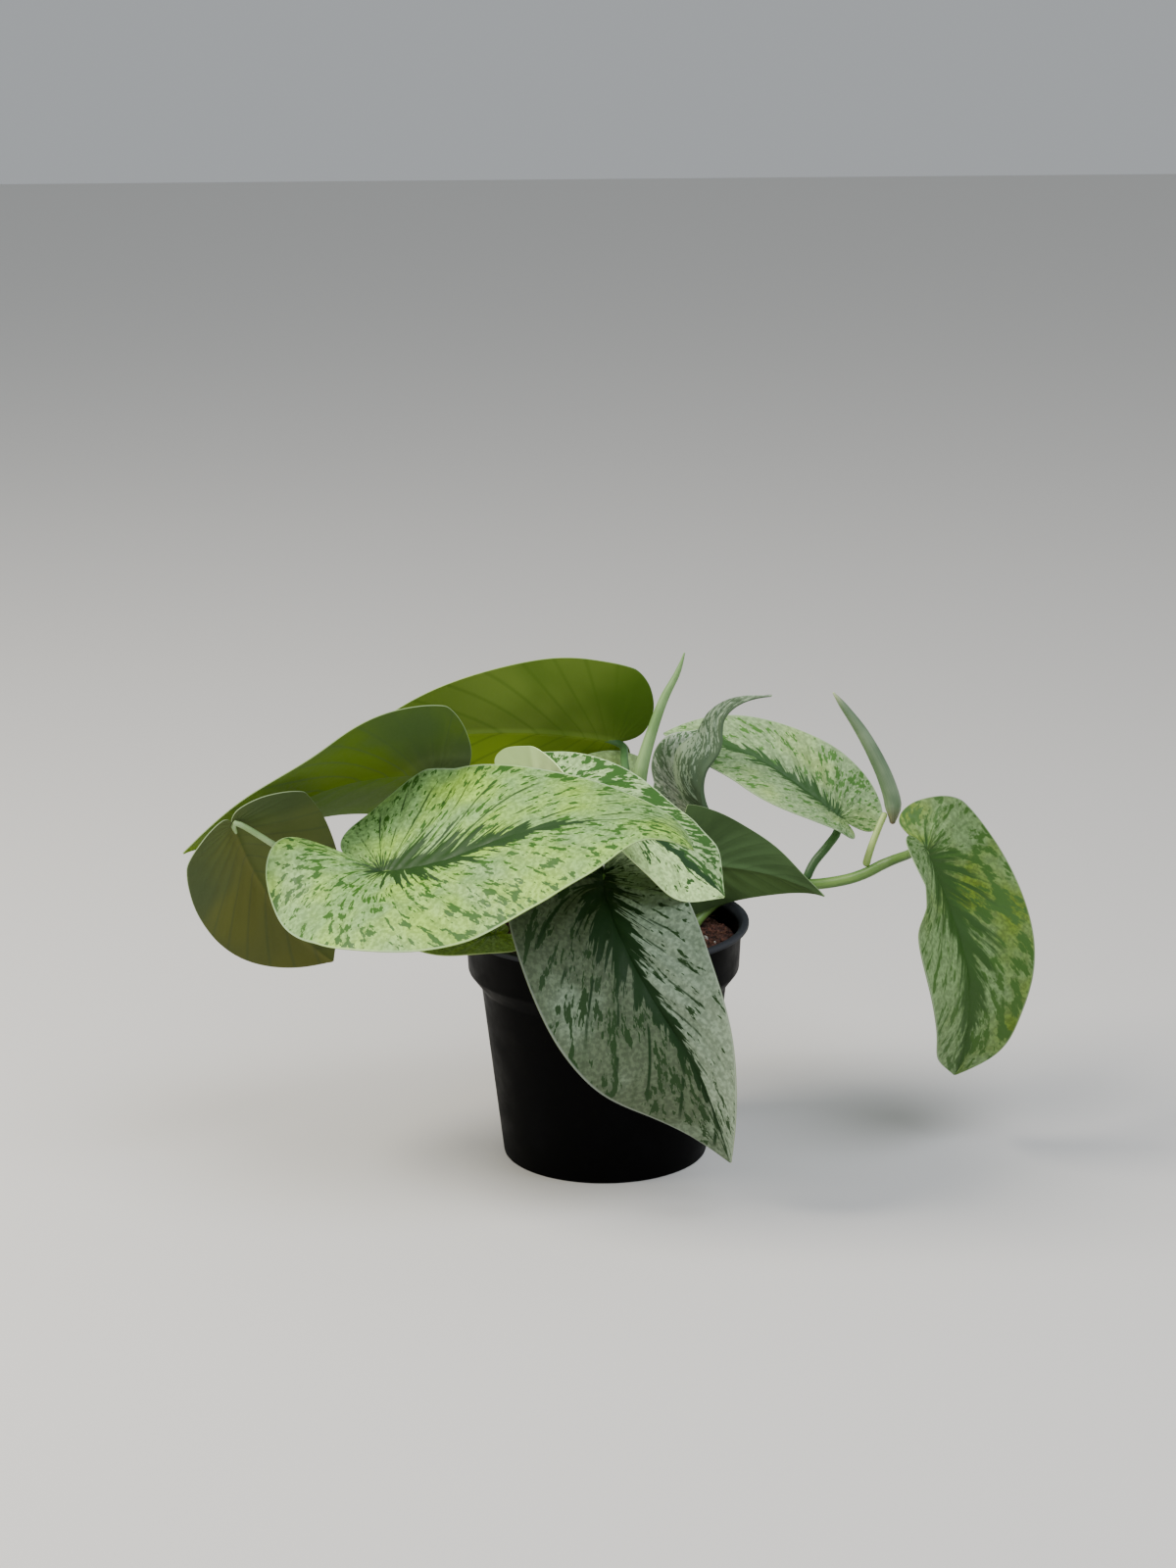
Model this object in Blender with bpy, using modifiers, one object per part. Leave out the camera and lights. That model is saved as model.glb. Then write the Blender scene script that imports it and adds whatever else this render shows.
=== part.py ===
"""A young satin pothos in a small nursery pot.

Each leaf is a heart-shaped blade on a round stalk. The stalks rise from cuttings buried in the soil,
except those of the last three leaves on the right, which the vine carries over the rim.
The origin is the middle of the pot's underside. The plant is seen from -Y, with +X to the right.
"""

import math
from dataclasses import dataclass

import bmesh
import bpy
import numpy as np

MM = 0.001

# The pot, in mm. It tapers down from a deep collar, with a thin flange round its mouth.
POT_HEIGHT = 85.0
BASE_RADIUS = 36.0
SHOULDER_RADIUS = 43.1
COLLAR_FOOT_RADIUS = 47.6
COLLAR_TOP_RADIUS = 48.4
FLANGE_RADIUS = 51.0
FLANGE_THICKNESS = 2.0
COLLAR_HEIGHT = 17.0
CHAMFER_HEIGHT = 6.0
WALL = 1.2
FLOOR = 1.8
EDGE_ROUND = 0.8
POT_STEPS = 48
DRAIN_HOLES = 8
DRAIN_RADIUS = 3.5
DRAIN_CIRCLE = 24.0

# The soil, in mm. It fills the pot to a little under the flange.
GAP = 0.3
SOIL_TOP = 77.0
SOIL_MOUND = 1.5
SOCKET_DEPTH = 12.0

# The blades, in mm.
BLADE_THICKNESS = 0.7
BLADE_ROWS = 13
HALF_COLUMNS = 3
STALK_GAP = 0.4
TUBE_STEP = 6.0

# The margin of a blade from the stalk round one lobe to the tip, as shares of the blade's length:
# how far along the midrib, and how far out from it. The lobes lie behind the stalk.
MARGIN = (
    (0.0, 0.0),
    (-0.09, 0.035),
    (-0.19, 0.13),
    (-0.19, 0.27),
    (-0.05, 0.37),
    (0.16, 0.40),
    (0.40, 0.365),
    (0.64, 0.275),
    (0.84, 0.145),
    (0.95, 0.05),
    (1.0, 0.0),
)
WIDEST = 0.40
LOBE_REACH = 0.19

SOIL_COLOUR = (0.020, 0.008, 0.005, 1.0)
POT_COLOUR = (0.006, 0.006, 0.007, 1.0)
STALK_COLOUR = (0.10, 0.21, 0.06, 1.0)
BLADE_COLOUR = (0.26, 0.40, 0.18, 1.0)


@dataclass
class Leaf:
    """A blade and its stalk. Left and right are as seen from the stalk, with the upper side up."""

    # Points along the midrib from the stalk to the tip, in mm.
    midrib: tuple
    # The way the upper side faces, at the base and at the tip.
    faces: tuple
    # Each half's width, times the usual one: left, right.
    width: tuple = (1.0, 1.0)
    # How far each lobe reaches back, times the usual reach: left, right.
    lobe: tuple = (0.5, 0.5)
    # How far each half is folded up, in degrees at its base and tip: left, right.
    fold: tuple = ((0, 0), (0, 0))
    # How soon the fold passes from its value at the base to that at the tip.
    ease: float = 1.0
    # How much further each half turns up on its way to the margin, in degrees: left, right.
    curl: tuple = (0, 0)
    # How much wider the tip end is than the base end.
    swell: float = 0.0
    # How far the lobes rise behind the stalk, and how much more beside the notch, as shares of the length.
    lift: float = 0.0
    cup: float = 0.0
    # Points along the stalk, in mm, up to a little short of the blade.
    stalk: tuple = ()
    # The stalk's radius at its foot and at the blade, in mm.
    stalk_radius: tuple = (1.9, 1.3)


LEAVES = {
    "front_large": Leaf(
        midrib=(
            (-75, -37, 114),
            (-55, -50, 121),
            (-30, -57, 132),
            (0, -65, 139),
            (21, -73, 139),
            (29, -80, 133),
        ),
        faces=((0.0, -0.43, 0.87), (0.35, -0.39, 0.75)),
        width=(0.95, 0.92),
        lobe=(0.94, 1.24),
        fold=((14, -28), (21, 4)),
        ease=1.3,
        curl=(4, -37),
        lift=-0.04,
        cup=0.3,
        stalk=((-14, -12), (-34, -23, 96), (-59, -33, 106)),
        stalk_radius=(2.2, 1.6),
    ),
    "front_hanging": Leaf(
        midrib=((0, -22, 108), (2, -44, 101), (13, -60, 81), (30, -68, 54), (42, -66, 19)),
        faces=((0.1, -0.45, 0.9), (-0.61, -0.69, 0.19)),
        width=(0.57, 0.83),
        lobe=(0.2, 0.3),
        fold=((11, 29), (29, 13)),
        swell=0.3,
        stalk=((-2, -12), (-2, -13, 92), (-1, -18, 104)),
    ),
    "centre_upper": Leaf(
        midrib=((-23, 4, 127.5), (0, -12.5, 126), (14, -26, 123.5), (28, -35, 116), (41, -38, 104)),
        faces=((0.35, -0.3, 0.8), (0.7, -0.45, 0.4)),
        width=(0.93, 0.87),
        lobe=(1.0, 1.1),
        fold=((26, 8), (85, 3)),
        ease=6.0,
        swell=0.5,
        lift=0.05,
        stalk=((-6, 2), (-12, 3, 105), (-21, 4, 120)),
    ),
    "back_upper": Leaf(
        midrib=((6, 40, 139), (-21, 38, 143), (-56, 28, 145), (-89, 22, 141)),
        faces=((0.0, 0.85, 0.5), (0.0, 0.85, 0.5)),
        width=(0.97, 0.95),
        lobe=(0.5, 0.3),
        cup=0.1,
        stalk=((4, 10), (7, 10, 105), (8.5, 15, 124), (8, 26, 135)),
    ),
    "left_upper": Leaf(
        midrib=((-56, 4, 137), (-87, 0, 136), (-116, -10, 127), (-145, -13, 114)),
        faces=((0.0, 0.75, 0.62), (0.04, 0.4, 0.9)),
        width=(1.0, 0.9),
        lobe=(0.5, 0.4),
        fold=((3, 0), (7, 0)),
        lift=-0.1,
        cup=-0.1,
        stalk=((-20, 12), (-30, 12, 105), (-48, 8, 127)),
    ),
    "left_lower": Leaf(
        midrib=((-125, -36, 131), (-120, -21, 110), (-109, -5, 85), (-96, 10, 67)),
        faces=((-0.55, 0.75, 0.4), (-0.55, 0.75, 0.4)),
        width=(0.77, 0.91),
        lobe=(0.35, 0.35),
        fold=((-18, 2), (-10, 1)),
        swell=0.35,
        stalk=((-24, 0), (-45, -3, 92), (-80, -14, 103), (-106, -26, 117)),
    ),
    "right_dark": Leaf(
        midrib=((27, 0, 105), (45, 6, 102), (61, 8, 98), (78, 5, 91)),
        faces=((-0.05, 1.0, 0.0), (0.08, 0.74, 0.59)),
        width=(0.84, 0.86),
        lobe=(0.5, 0.1),
        swell=-0.6,
        stalk=((6, -4), (10, -7, 92), (19, -5, 101)),
    ),
    "half_rolled": Leaf(
        midrib=((39, 26, 113), (36, 22, 132), (41, 22, 140), (43, 22, 152), (60, 21, 160)),
        faces=((-0.64, 0.26, 0.56), (0.02, 0.17, 0.84)),
        width=(1.12, 0.7),
        lobe=(0.2, 0.2),
        fold=((66, 57), (56, 57)),
        curl=(24, 107),
        swell=-1.3,
        stalk=((26, 20), (31, 22, 90), (37, 25, 106)),
    ),
    "right_back": Leaf(
        midrib=((85, 28, 113), (72, 31, 123), (53, 38, 134), (22, 43, 141)),
        faces=((0.0, -0.4, 0.9), (0.0, -0.58, 0.8)),
        width=(0.92, 0.86),
        lobe=(0.5, 0.9),
        fold=((34, 4), (2, -2)),
        stalk=((73, 20.4, 94.1), (75, 21.5, 98), (80, 23, 104), (84, 26.5, 109)),
        stalk_radius=(1.7, 1.6),
    ),
    "vine_end": Leaf(
        midrib=((112, -4, 111), (118, -2, 97), (128, -8, 61), (124, -1, 26)),
        faces=((0.39, -0.59, 0.58), (0.3, -0.87, 0.04)),
        width=(0.85, 0.84),
        lobe=(0.7, 0.7),
        fold=((2, 11), (31, 24)),
        swell=0.25,
        lift=-0.1,
        cup=-0.15,
        stalk=((97.7, 12, 99.8), (101.5, 11, 101.9), (107, 5, 106)),
        stalk_radius=(2.0, 1.5),
    ),
    "on_rim": Leaf(
        midrib=((-37, -29, 88.5), (-50, -33, 88.5), (-62, -34, 89), (-76, -32, 90)),
        faces=((0.0, -0.05, 1.0), (0.0, -0.05, 1.0)),
        width=(1.05, 1.0),
        lobe=(0.8, 0.8),
        stalk=((-22, -18), (-27, -22, 82)),
        stalk_radius=(1.6, 1.2),
    ),
    "centre_pale": Leaf(
        midrib=((11.5, 38, 123.5), (4.5, 37, 126.5), (-3.5, 37, 127.5), (-16.5, 38, 126.5)),
        faces=((0.0, -0.93, 0.36), (0.0, -0.93, 0.36)),
        width=(0.85, 0.85),
        lobe=(0.3, 0.3),
        stalk=((12, 26), (13.5, 34, 95), (13.5, 39, 113.5)),
        stalk_radius=(1.5, 1.0),
    ),
}

# The vine, in mm: out of the soil, over the rim and on to where its last leaf stalks part.
VINE = (
    (30, 6, 65),
    (31, 7, 78),
    (40, 15, 86),
    (52, 20, 88.8),
    (66, 20, 90.5),
    (80, 17, 92.3),
    (90, 14, 95.5),
    (97, 12, 99.5),
)
VINE_RADIUS = (2.1, 1.9)

# Rolled leaves that haven't opened, and the stalk of one, in mm: points on the middle line, each with
# the radius there.
SPIKE = (
    (14, 14, 65, 1.8),
    (14, 16, 90, 1.9),
    (13, 18, 111, 2.3),
    (13, 18, 129, 2.7),
    (18, 18, 149, 1.9),
    (22, 18, 160, 1.6),
    (27, 18, 170, 1.0),
    (29, 18, 176, 0.3),
)
NEW_LEAF = (
    (102.3, 15, 115.5, 1.2),
    (102.5, 15, 120.5, 3.1),
    (100, 15, 130, 2.9),
    (96, 15, 139, 2.6),
    (91, 15, 148, 2.2),
    (84, 15, 158, 1.3),
    (81, 15, 162, 0.4),
)
NEW_LEAF_STALK = (
    (93.2, 13, 100.9, 1.5),
    (94.5, 12.4, 106, 1.4),
    (96.8, 13.5, 112, 1.3),
    (99.3, 14.9, 117.5, 1.2),
)
ROLLED = {"leaf_spike": SPIKE, "leaf_new_rolled": NEW_LEAF, "stalk_new_rolled": NEW_LEAF_STALK}


def smooth_path(points, shares):
    """Places on a smooth curve through the points, at these shares of its length, and that length."""
    points = np.asarray(points, float)
    knots = np.concatenate([[0.0], np.cumsum(np.linalg.norm(np.diff(points, axis=0), axis=1))])
    slopes = np.gradient(points, knots, axis=0, edge_order=min(2, len(points) - 1))
    fine = np.linspace(0.0, knots[-1], 400)
    first = np.clip(np.searchsorted(knots, fine, side="right") - 1, 0, len(knots) - 2)
    step = (knots[first + 1] - knots[first])[:, None]
    t = (fine - knots[first])[:, None] / step
    curve = (
        (2 * t**3 - 3 * t**2 + 1) * points[first]
        + (t**3 - 2 * t**2 + t) * step * slopes[first]
        + (3 * t**2 - 2 * t**3) * points[first + 1]
        + (t**3 - t**2) * step * slopes[first + 1]
    )
    along = np.concatenate([[0.0], np.cumsum(np.linalg.norm(np.diff(curve, axis=0), axis=1))])
    wanted = np.asarray(shares, float) * along[-1]
    places = [np.interp(wanted, along, curve[:, axis]) for axis in range(curve.shape[1])]
    return np.stack(places, axis=-1), along[-1]


def unit(vectors):
    return vectors / np.linalg.norm(vectors, axis=-1, keepdims=True)


def blend(share, base_value, tip_value):
    return base_value * (1 - share) + tip_value * share


def midrib_frame(leaf, share):
    """The midrib's points at these shares of its length, with its forward and upward directions there."""
    place, length = smooth_path(leaf.midrib, share)
    ahead, _ = smooth_path(leaf.midrib, np.clip(share + 0.01, 0, 1))
    behind, _ = smooth_path(leaf.midrib, np.clip(share - 0.01, 0, 1))
    forward = unit(ahead - behind)
    base_face, tip_face = unit(np.array(leaf.faces, float))
    face = blend(share[..., None], base_face, tip_face)
    upward = unit(face - (face * forward).sum(-1, keepdims=True) * forward)
    return place, forward, upward, length


def blade_plan(leaf, u, v):
    """The flat blade: u runs along the margin from the notch to the tip, v from left margin to right.

    It gives the shares of the length along the midrib and out from it. A line of constant u follows
    a side vein, which leaves the midrib and arches out to the margin.
    """
    left = v > 0
    edge, _ = smooth_path(MARGIN, u)
    edge_along = np.where(edge[..., 0] < 0, edge[..., 0] * np.where(left, *leaf.lobe), edge[..., 0])
    edge_across = edge[..., 1] * np.where(left, *leaf.width)
    root = u**2.2
    bow = 0.16 * (0.36 - u) * edge_across
    out = np.abs(v)
    middle = (root + edge_along) / 2 + bow
    along = (1 - out) ** 2 * root + 2 * out * (1 - out) * middle + out**2 * edge_along
    across = out * edge_across
    return along, across * (1 + leaf.swell * (np.clip(along, 0, 1) - 0.3))


def blade_points(leaf, rows, half_columns):
    """Points on the blade's middle surface, in mm, row by row from the notch to the tip."""
    u, v = np.meshgrid(np.linspace(0, 1, rows), np.linspace(1, -1, 2 * half_columns + 1), indexing="ij")
    along, across = blade_plan(leaf, u, v)
    share = np.clip(along, 0, 1)
    place, forward, upward, length = midrib_frame(leaf, share)
    leftward = np.cross(upward, forward)
    eased = 1 - (1 - share) ** leaf.ease
    left_fold, right_fold = (blend(eased, *ends) for ends in leaf.fold)
    fold = np.radians(np.where(v > 0, left_fold, right_fold))
    widest = WIDEST * np.where(v > 0, *leaf.width)
    turn = np.radians(np.where(v > 0, *leaf.curl)) * across / widest
    turn = np.where(np.abs(turn) < 1e-4, 1e-4, turn)
    outward = (np.sin(fold + turn) - np.sin(fold)) / turn * across * length
    rise = (np.cos(fold) - np.cos(fold + turn)) / turn * across * length
    behind = np.minimum(along, 0)
    far_back = behind**2 / (behind**2 + LOBE_REACH**2)
    rise += (leaf.lift + leaf.cup * np.exp(-((across / 0.2) ** 2))) * far_back * length
    points = place + forward * (behind * length)[..., None]
    return points + leftward * (np.sign(v) * outward)[..., None] + upward * rise[..., None]


def stalk_points(leaf):
    """The stalk's route in mm: from its socket in the soil, or from the vine, to just under the blade."""
    route = list(leaf.stalk)
    if len(route[0]) == 2:
        x, y = route[0]
        route[0:1] = [(x, y, SOIL_TOP - SOCKET_DEPTH), (x, y, SOIL_TOP + 2)]
    base, _, upward, _ = midrib_frame(leaf, np.zeros(1))
    arriving = unit(base[0] - np.array(route[-1], float))
    lean = math.sqrt(max(0.0, 1 - float(arriving @ upward[0]) ** 2))
    clear = BLADE_THICKNESS / 2 + STALK_GAP + leaf.stalk_radius[1] * lean
    route.append(tuple(base[0] - upward[0] * clear))
    return route


def new_material(name, colour, roughness):
    material = bpy.data.materials.new(name)
    material.use_nodes = True
    shader = material.node_tree.nodes["Principled BSDF"]
    shader.inputs["Base Color"].default_value = colour
    shader.inputs["Roughness"].default_value = roughness
    shader.inputs["Metallic"].default_value = 0.0
    return material


def new_object(name, data, collection, material=None):
    made = bpy.data.objects.new(name, data)
    collection.objects.link(made)
    if material:
        data.materials.append(material)
    return made


def hide_cutter(cutter):
    cutter.hide_render = True
    cutter.display_type = "WIRE"
    return cutter


def cut(target, cutter):
    modifier = target.modifiers.new("cut " + cutter.name, "BOOLEAN")
    modifier.operation = "DIFFERENCE"
    modifier.object = cutter


def turned(name, profile, steps, collection, material):
    """A shape turned about the Z axis from (radius, height) pairs in mm, which run down its outer side."""
    mesh = bpy.data.meshes.new(name)
    points = [(radius * MM, 0.0, height * MM) for radius, height in profile]
    mesh.from_pydata(points, [(i, i + 1) for i in range(len(points) - 1)], [])
    made = new_object(name, mesh, collection, material)
    screw = made.modifiers.new("turn", "SCREW")
    screw.axis = "Z"
    screw.steps = steps
    screw.render_steps = steps
    screw.use_merge_vertices = True
    screw.merge_threshold = 0.00001
    return made


def smooth_line(points, radii):
    """Places every few mm on a smooth curve through the points, and the radius at each of them, in mm."""
    _, length = smooth_path(points, [0.0])
    shares = np.linspace(0, 1, max(4, round(length / TUBE_STEP) + 1))
    places, _ = smooth_path(points, shares)
    return places, np.interp(shares, np.linspace(0, 1, len(radii)), radii)


def tube(name, places, radii, collection, material=None):
    """A round tube along straight steps between places, with a radius at each, in mm."""
    curve = bpy.data.curves.new(name, "CURVE")
    curve.dimensions = "3D"
    curve.bevel_depth = max(radii) * MM
    curve.bevel_resolution = 2
    curve.use_fill_caps = True
    spline = curve.splines.new("POLY")
    spline.points.add(len(places) - 1)
    for point, place, radius in zip(spline.points, places, radii):
        point.co = (*(np.array(place) * MM), 1.0)
        point.radius = radius / max(radii)
    return new_object(name, curve, collection, material)


def as_mesh(curve_object, collection):
    """The same shape as a closed mesh, in place of the curve."""
    graph = bpy.context.evaluated_depsgraph_get()
    mesh = bpy.data.meshes.new_from_object(curve_object.evaluated_get(graph))
    shape = bmesh.new()
    shape.from_mesh(mesh)
    bmesh.ops.remove_doubles(shape, verts=shape.verts, dist=0.00001)
    bmesh.ops.recalc_face_normals(shape, faces=shape.faces)
    shape.to_mesh(mesh)
    shape.free()
    name = curve_object.name
    place = curve_object.matrix_world.copy()
    bpy.data.objects.remove(curve_object)
    made = new_object(name, mesh, collection)
    made.matrix_world = place
    return made


def blade(name, leaf, collection, material):
    """A thin solid blade, lofted over the leaf's vein lines and thickened."""
    points = blade_points(leaf, BLADE_ROWS, HALF_COLUMNS) * MM
    rows, columns, _ = points.shape
    shape = bmesh.new()
    grid = [[shape.verts.new(place) for place in row] for row in points]
    for i in range(rows - 1):
        for j in range(columns - 1):
            shape.faces.new((grid[i][j], grid[i][j + 1], grid[i + 1][j + 1], grid[i + 1][j]))
    bmesh.ops.remove_doubles(shape, verts=shape.verts, dist=0.00001)
    mesh = bpy.data.meshes.new(name)
    shape.to_mesh(mesh)
    shape.free()
    mesh.shade_smooth()
    made = new_object(name, mesh, collection, material)
    solid = made.modifiers.new("thickness", "SOLIDIFY")
    solid.thickness = BLADE_THICKNESS * MM
    solid.offset = 0.0
    return made


def pot(collection, cutters, material):
    shoulder = POT_HEIGHT - COLLAR_HEIGHT - CHAMFER_HEIGHT
    collar_foot = POT_HEIGHT - COLLAR_HEIGHT
    flange_under = POT_HEIGHT - FLANGE_THICKNESS
    profile = (
        (0, FLOOR),
        (BASE_RADIUS - WALL - EDGE_ROUND, FLOOR),
        (BASE_RADIUS - WALL, FLOOR + EDGE_ROUND),
        (SHOULDER_RADIUS - WALL, shoulder),
        (COLLAR_FOOT_RADIUS - WALL, collar_foot + WALL / 2),
        (COLLAR_TOP_RADIUS - WALL, flange_under),
        (FLANGE_RADIUS - 2.4, POT_HEIGHT - 0.3),
        (FLANGE_RADIUS - 1.9, POT_HEIGHT),
        (FLANGE_RADIUS - 0.6, POT_HEIGHT),
        (FLANGE_RADIUS, POT_HEIGHT - 0.6),
        (FLANGE_RADIUS, flange_under + 0.3),
        (FLANGE_RADIUS - 0.4, flange_under),
        (COLLAR_TOP_RADIUS, flange_under - 0.2),
        (COLLAR_FOOT_RADIUS, collar_foot),
        (SHOULDER_RADIUS, shoulder),
        (BASE_RADIUS, EDGE_ROUND),
        (BASE_RADIUS - EDGE_ROUND, 0),
        (0, 0),
    )
    made = turned("nursery_pot", profile, POT_STEPS, collection, material)
    made.data.shade_smooth()
    made.data.set_sharp_from_angle(angle=math.radians(35))
    for i in range(DRAIN_HOLES):
        angle = 2 * math.pi * i / DRAIN_HOLES
        shape = bmesh.new()
        bmesh.ops.create_cone(
            shape,
            cap_ends=True,
            segments=16,
            radius1=DRAIN_RADIUS * MM,
            radius2=DRAIN_RADIUS * MM,
            depth=3 * FLOOR * MM,
        )
        mesh = bpy.data.meshes.new(f"drain_hole_{i + 1}")
        shape.to_mesh(mesh)
        shape.free()
        hole = hide_cutter(new_object(mesh.name, mesh, cutters))
        across = DRAIN_CIRCLE * math.cos(angle)
        back = DRAIN_CIRCLE * math.sin(angle)
        hole.location = (across * MM, back * MM, FLOOR / 2 * MM)
        cut(made, hole)
    return made


def soil(collection, cutters, material, stems):
    """The root ball, with a socket for each stem that goes down into it."""
    shoulder = POT_HEIGHT - COLLAR_HEIGHT - CHAMFER_HEIGHT
    collar_foot = POT_HEIGHT - COLLAR_HEIGHT
    inset = WALL + GAP
    profile = (
        (0, SOIL_TOP + SOIL_MOUND),
        (18, SOIL_TOP + 0.8 * SOIL_MOUND),
        (34, SOIL_TOP + 0.3 * SOIL_MOUND),
        (COLLAR_FOOT_RADIUS - inset, SOIL_TOP),
        (COLLAR_FOOT_RADIUS - inset, collar_foot + WALL),
        (SHOULDER_RADIUS - inset, shoulder),
        (BASE_RADIUS - inset, FLOOR + EDGE_ROUND + GAP),
        (BASE_RADIUS - inset - EDGE_ROUND, FLOOR + GAP),
        (0, FLOOR + GAP),
    )
    made = turned("potting_soil", profile, POT_STEPS, collection, material)
    for name, places, radii in stems:
        buried = int((places[:, 2] < SOIL_TOP + SOIL_MOUND + TUBE_STEP / 2).sum())
        below = places[0] + unit(places[0] - places[1]) * GAP
        along = np.vstack([below, places[: buried + 1]])
        widths = np.concatenate([radii[:1], radii[: buried + 1]]) + GAP
        socket = as_mesh(tube("socket_" + name, along, widths, cutters), cutters)
        cut(made, hide_cutter(socket))
    return made


def build():
    for old in list(bpy.data.objects):
        bpy.data.objects.remove(old)
    plant = bpy.data.collections.new("potted_satin_pothos")
    cutters = bpy.data.collections.new("cutters")
    bpy.context.scene.collection.children.link(plant)
    bpy.context.scene.collection.children.link(cutters)
    blade_material = new_material("satin leaf", BLADE_COLOUR, 0.45)
    stalk_material = new_material("green stalk", STALK_COLOUR, 0.4)
    pot(plant, cutters, new_material("black nursery plastic", POT_COLOUR, 0.5))

    lines = {}
    for name, leaf in LEAVES.items():
        lines["stalk_" + name] = smooth_line(stalk_points(leaf), leaf.stalk_radius)
    lines["vine_stem"] = smooth_line(VINE, VINE_RADIUS)
    for name, points in ROLLED.items():
        line, radii = np.split(np.array(points, float), [3], axis=1)
        lines[name] = smooth_line(line, radii[:, 0])
    for name, leaf in LEAVES.items():
        blade("leaf_" + name, leaf, plant, blade_material)
    for name, (places, radii) in lines.items():
        tube(name, places, radii, plant, stalk_material)

    rooted = [(name, *line) for name, line in lines.items() if line[0][0, 2] < SOIL_TOP]
    soil(plant, cutters, new_material("coir potting mix", SOIL_COLOUR, 0.95), rooted)


build()
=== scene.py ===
"""How the potted satin pothos looks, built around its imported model.

Each blade is one surface worked out from its midrib, carried with its stalk on the body "root". The
silvery pattern follows the side veins, in the blade's own coordinates.
"""

import math
from dataclasses import dataclass

import bmesh
import bpy
import numpy as np
from mathutils import Matrix, Vector


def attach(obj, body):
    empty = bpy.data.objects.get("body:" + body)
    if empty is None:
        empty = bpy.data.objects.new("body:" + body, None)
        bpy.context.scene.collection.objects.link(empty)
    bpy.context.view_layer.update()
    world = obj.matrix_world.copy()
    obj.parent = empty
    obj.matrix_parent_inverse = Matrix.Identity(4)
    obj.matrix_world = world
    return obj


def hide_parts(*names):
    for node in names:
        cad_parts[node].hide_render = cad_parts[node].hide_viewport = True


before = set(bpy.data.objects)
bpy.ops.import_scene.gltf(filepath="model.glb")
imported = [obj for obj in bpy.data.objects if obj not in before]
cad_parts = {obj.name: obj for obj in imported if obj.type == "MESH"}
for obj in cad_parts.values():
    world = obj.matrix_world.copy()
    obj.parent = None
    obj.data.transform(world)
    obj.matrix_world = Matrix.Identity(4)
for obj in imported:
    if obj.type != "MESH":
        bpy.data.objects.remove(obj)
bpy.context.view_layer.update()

MM = 0.001
# Points nearer than this, in metres, are one point.
JOIN_DISTANCE = 2e-8
# How many straight steps stand in for a smooth curve while it is measured.
CURVE_STEPS = 400

# The pot, in mm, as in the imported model.
POT_HEIGHT = 85.0
BASE_RADIUS = 36.0
SHOULDER_RADIUS = 43.1
COLLAR_FOOT_RADIUS = 47.6
COLLAR_TOP_RADIUS = 48.4
FLANGE_RADIUS = 51.0
FLANGE_THICKNESS = 2.0
COLLAR_HEIGHT = 17.0
CHAMFER_HEIGHT = 6.0
WALL = 1.2
FLOOR = 1.8
LIP_WIDTH = 2.2
FLANGE_STEP = 0.2
POT_STEPS = 192
# Its edges are rounded over this distance, but no more than a share of a side, in this many steps.
EDGE_ROUND = 0.7
ROUND_SHARE = 0.45
ROUND_STEPS = 4
DRAIN_HOLES = 8
DRAIN_RADIUS = 3.5
DRAIN_CIRCLE = 24.0
DRILL_STEPS = 48
# The drill is turned by a little, in radians, so that none of its corners meets an edge of the floor.
DRILL_TURN = 0.03

# The potting mix, in mm. Its top is a sum of sine waves with these spacings, and their height is a
# share of the spacing. The seed sets its random numbers, and those of what lies on it.
SOIL_SEED = 7
GAP = 0.3
SOIL_TOP = 77.0
SOIL_MOUND = 1.5
SOIL_RINGS = 60
SOCKET_DEPTH = 12.0
WAVES = 24
WAVE_SPACING = (4, 16)
WAVE_HEIGHT = 0.012

# What lies on the mix: how many of each, how far they stay from its edge, and their sizes in mm. Grains
# of perlite and fibres lie a little higher than the crumbs.
CRUMBS = 2600
CRUMB_INSET = 1.0
CRUMB_RADIUS = (0.35, 1.3)
PERLITE_GRAINS = 34
PERLITE_INSET = 2.0
PERLITE_RADIUS = (0.5, 1.2)
FIBRES = 420
FIBRE_INSET = 6.0
FIBRE_LENGTH = (3, 9)
FIBRE_RADIUS = 0.14
FIBRE_POINTS = 7
LYING_HEIGHT = 0.5
# How far a crumb or grain is stretched along each of its axes, and how far its corners stand in or out.
LUMP_STRETCH = (0.55, 1.1)
LUMP_ROUGHNESS = (0.75, 1.15)
# How steeply a fibre rises, how far it bends in mm, what share of that it bends along each axis, and how
# near to an end it stops getting thinner, as a share of its length.
FIBRE_SLOPE = (-0.1, 0.35)
FIBRE_BEND = 1.2
FIBRE_FLATNESS = (1, 1, 0.4)
FIBRE_TAPER = 0.04

# The grid of a blade. Its rows run from notch to tip, short of both ends, where a narrow rim closes it,
# so that no face shrinks to nothing. Its columns lie closer together toward the midrib.
BLADE_ROWS = 140
BLADE_SPAN = (0.01, 0.998)
HALF_COLUMNS = 26
COLUMN_POWER = 1.5

# The thickness of a blade, the groove over its midrib and the rib under it, and the ripple at its margin,
# in mm. The groove and the rib fade in at the stalk and taper off by a share of their depth at the tip.
MIDDLE_THICKNESS = 0.6
MARGIN_THICKNESS = 0.32
GROOVE_DEPTH = 0.2
GROOVE_WIDTH = 1.0
RIB_DEPTH = 1.0
RIB_WIDTH = 1.1
RIB_START = 0.02
RIB_TAPER = 0.75
RIPPLE_HEIGHT = 0.5
RIPPLE_TURN = 17.0
# The swelling between side veins is highest a little nearer the midrib than halfway out.
QUILT_POWER = 0.7
# The least that a half turns on its way out, in radians, because a flat arc has no radius.
LEAST_TURN = 1e-4

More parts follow.
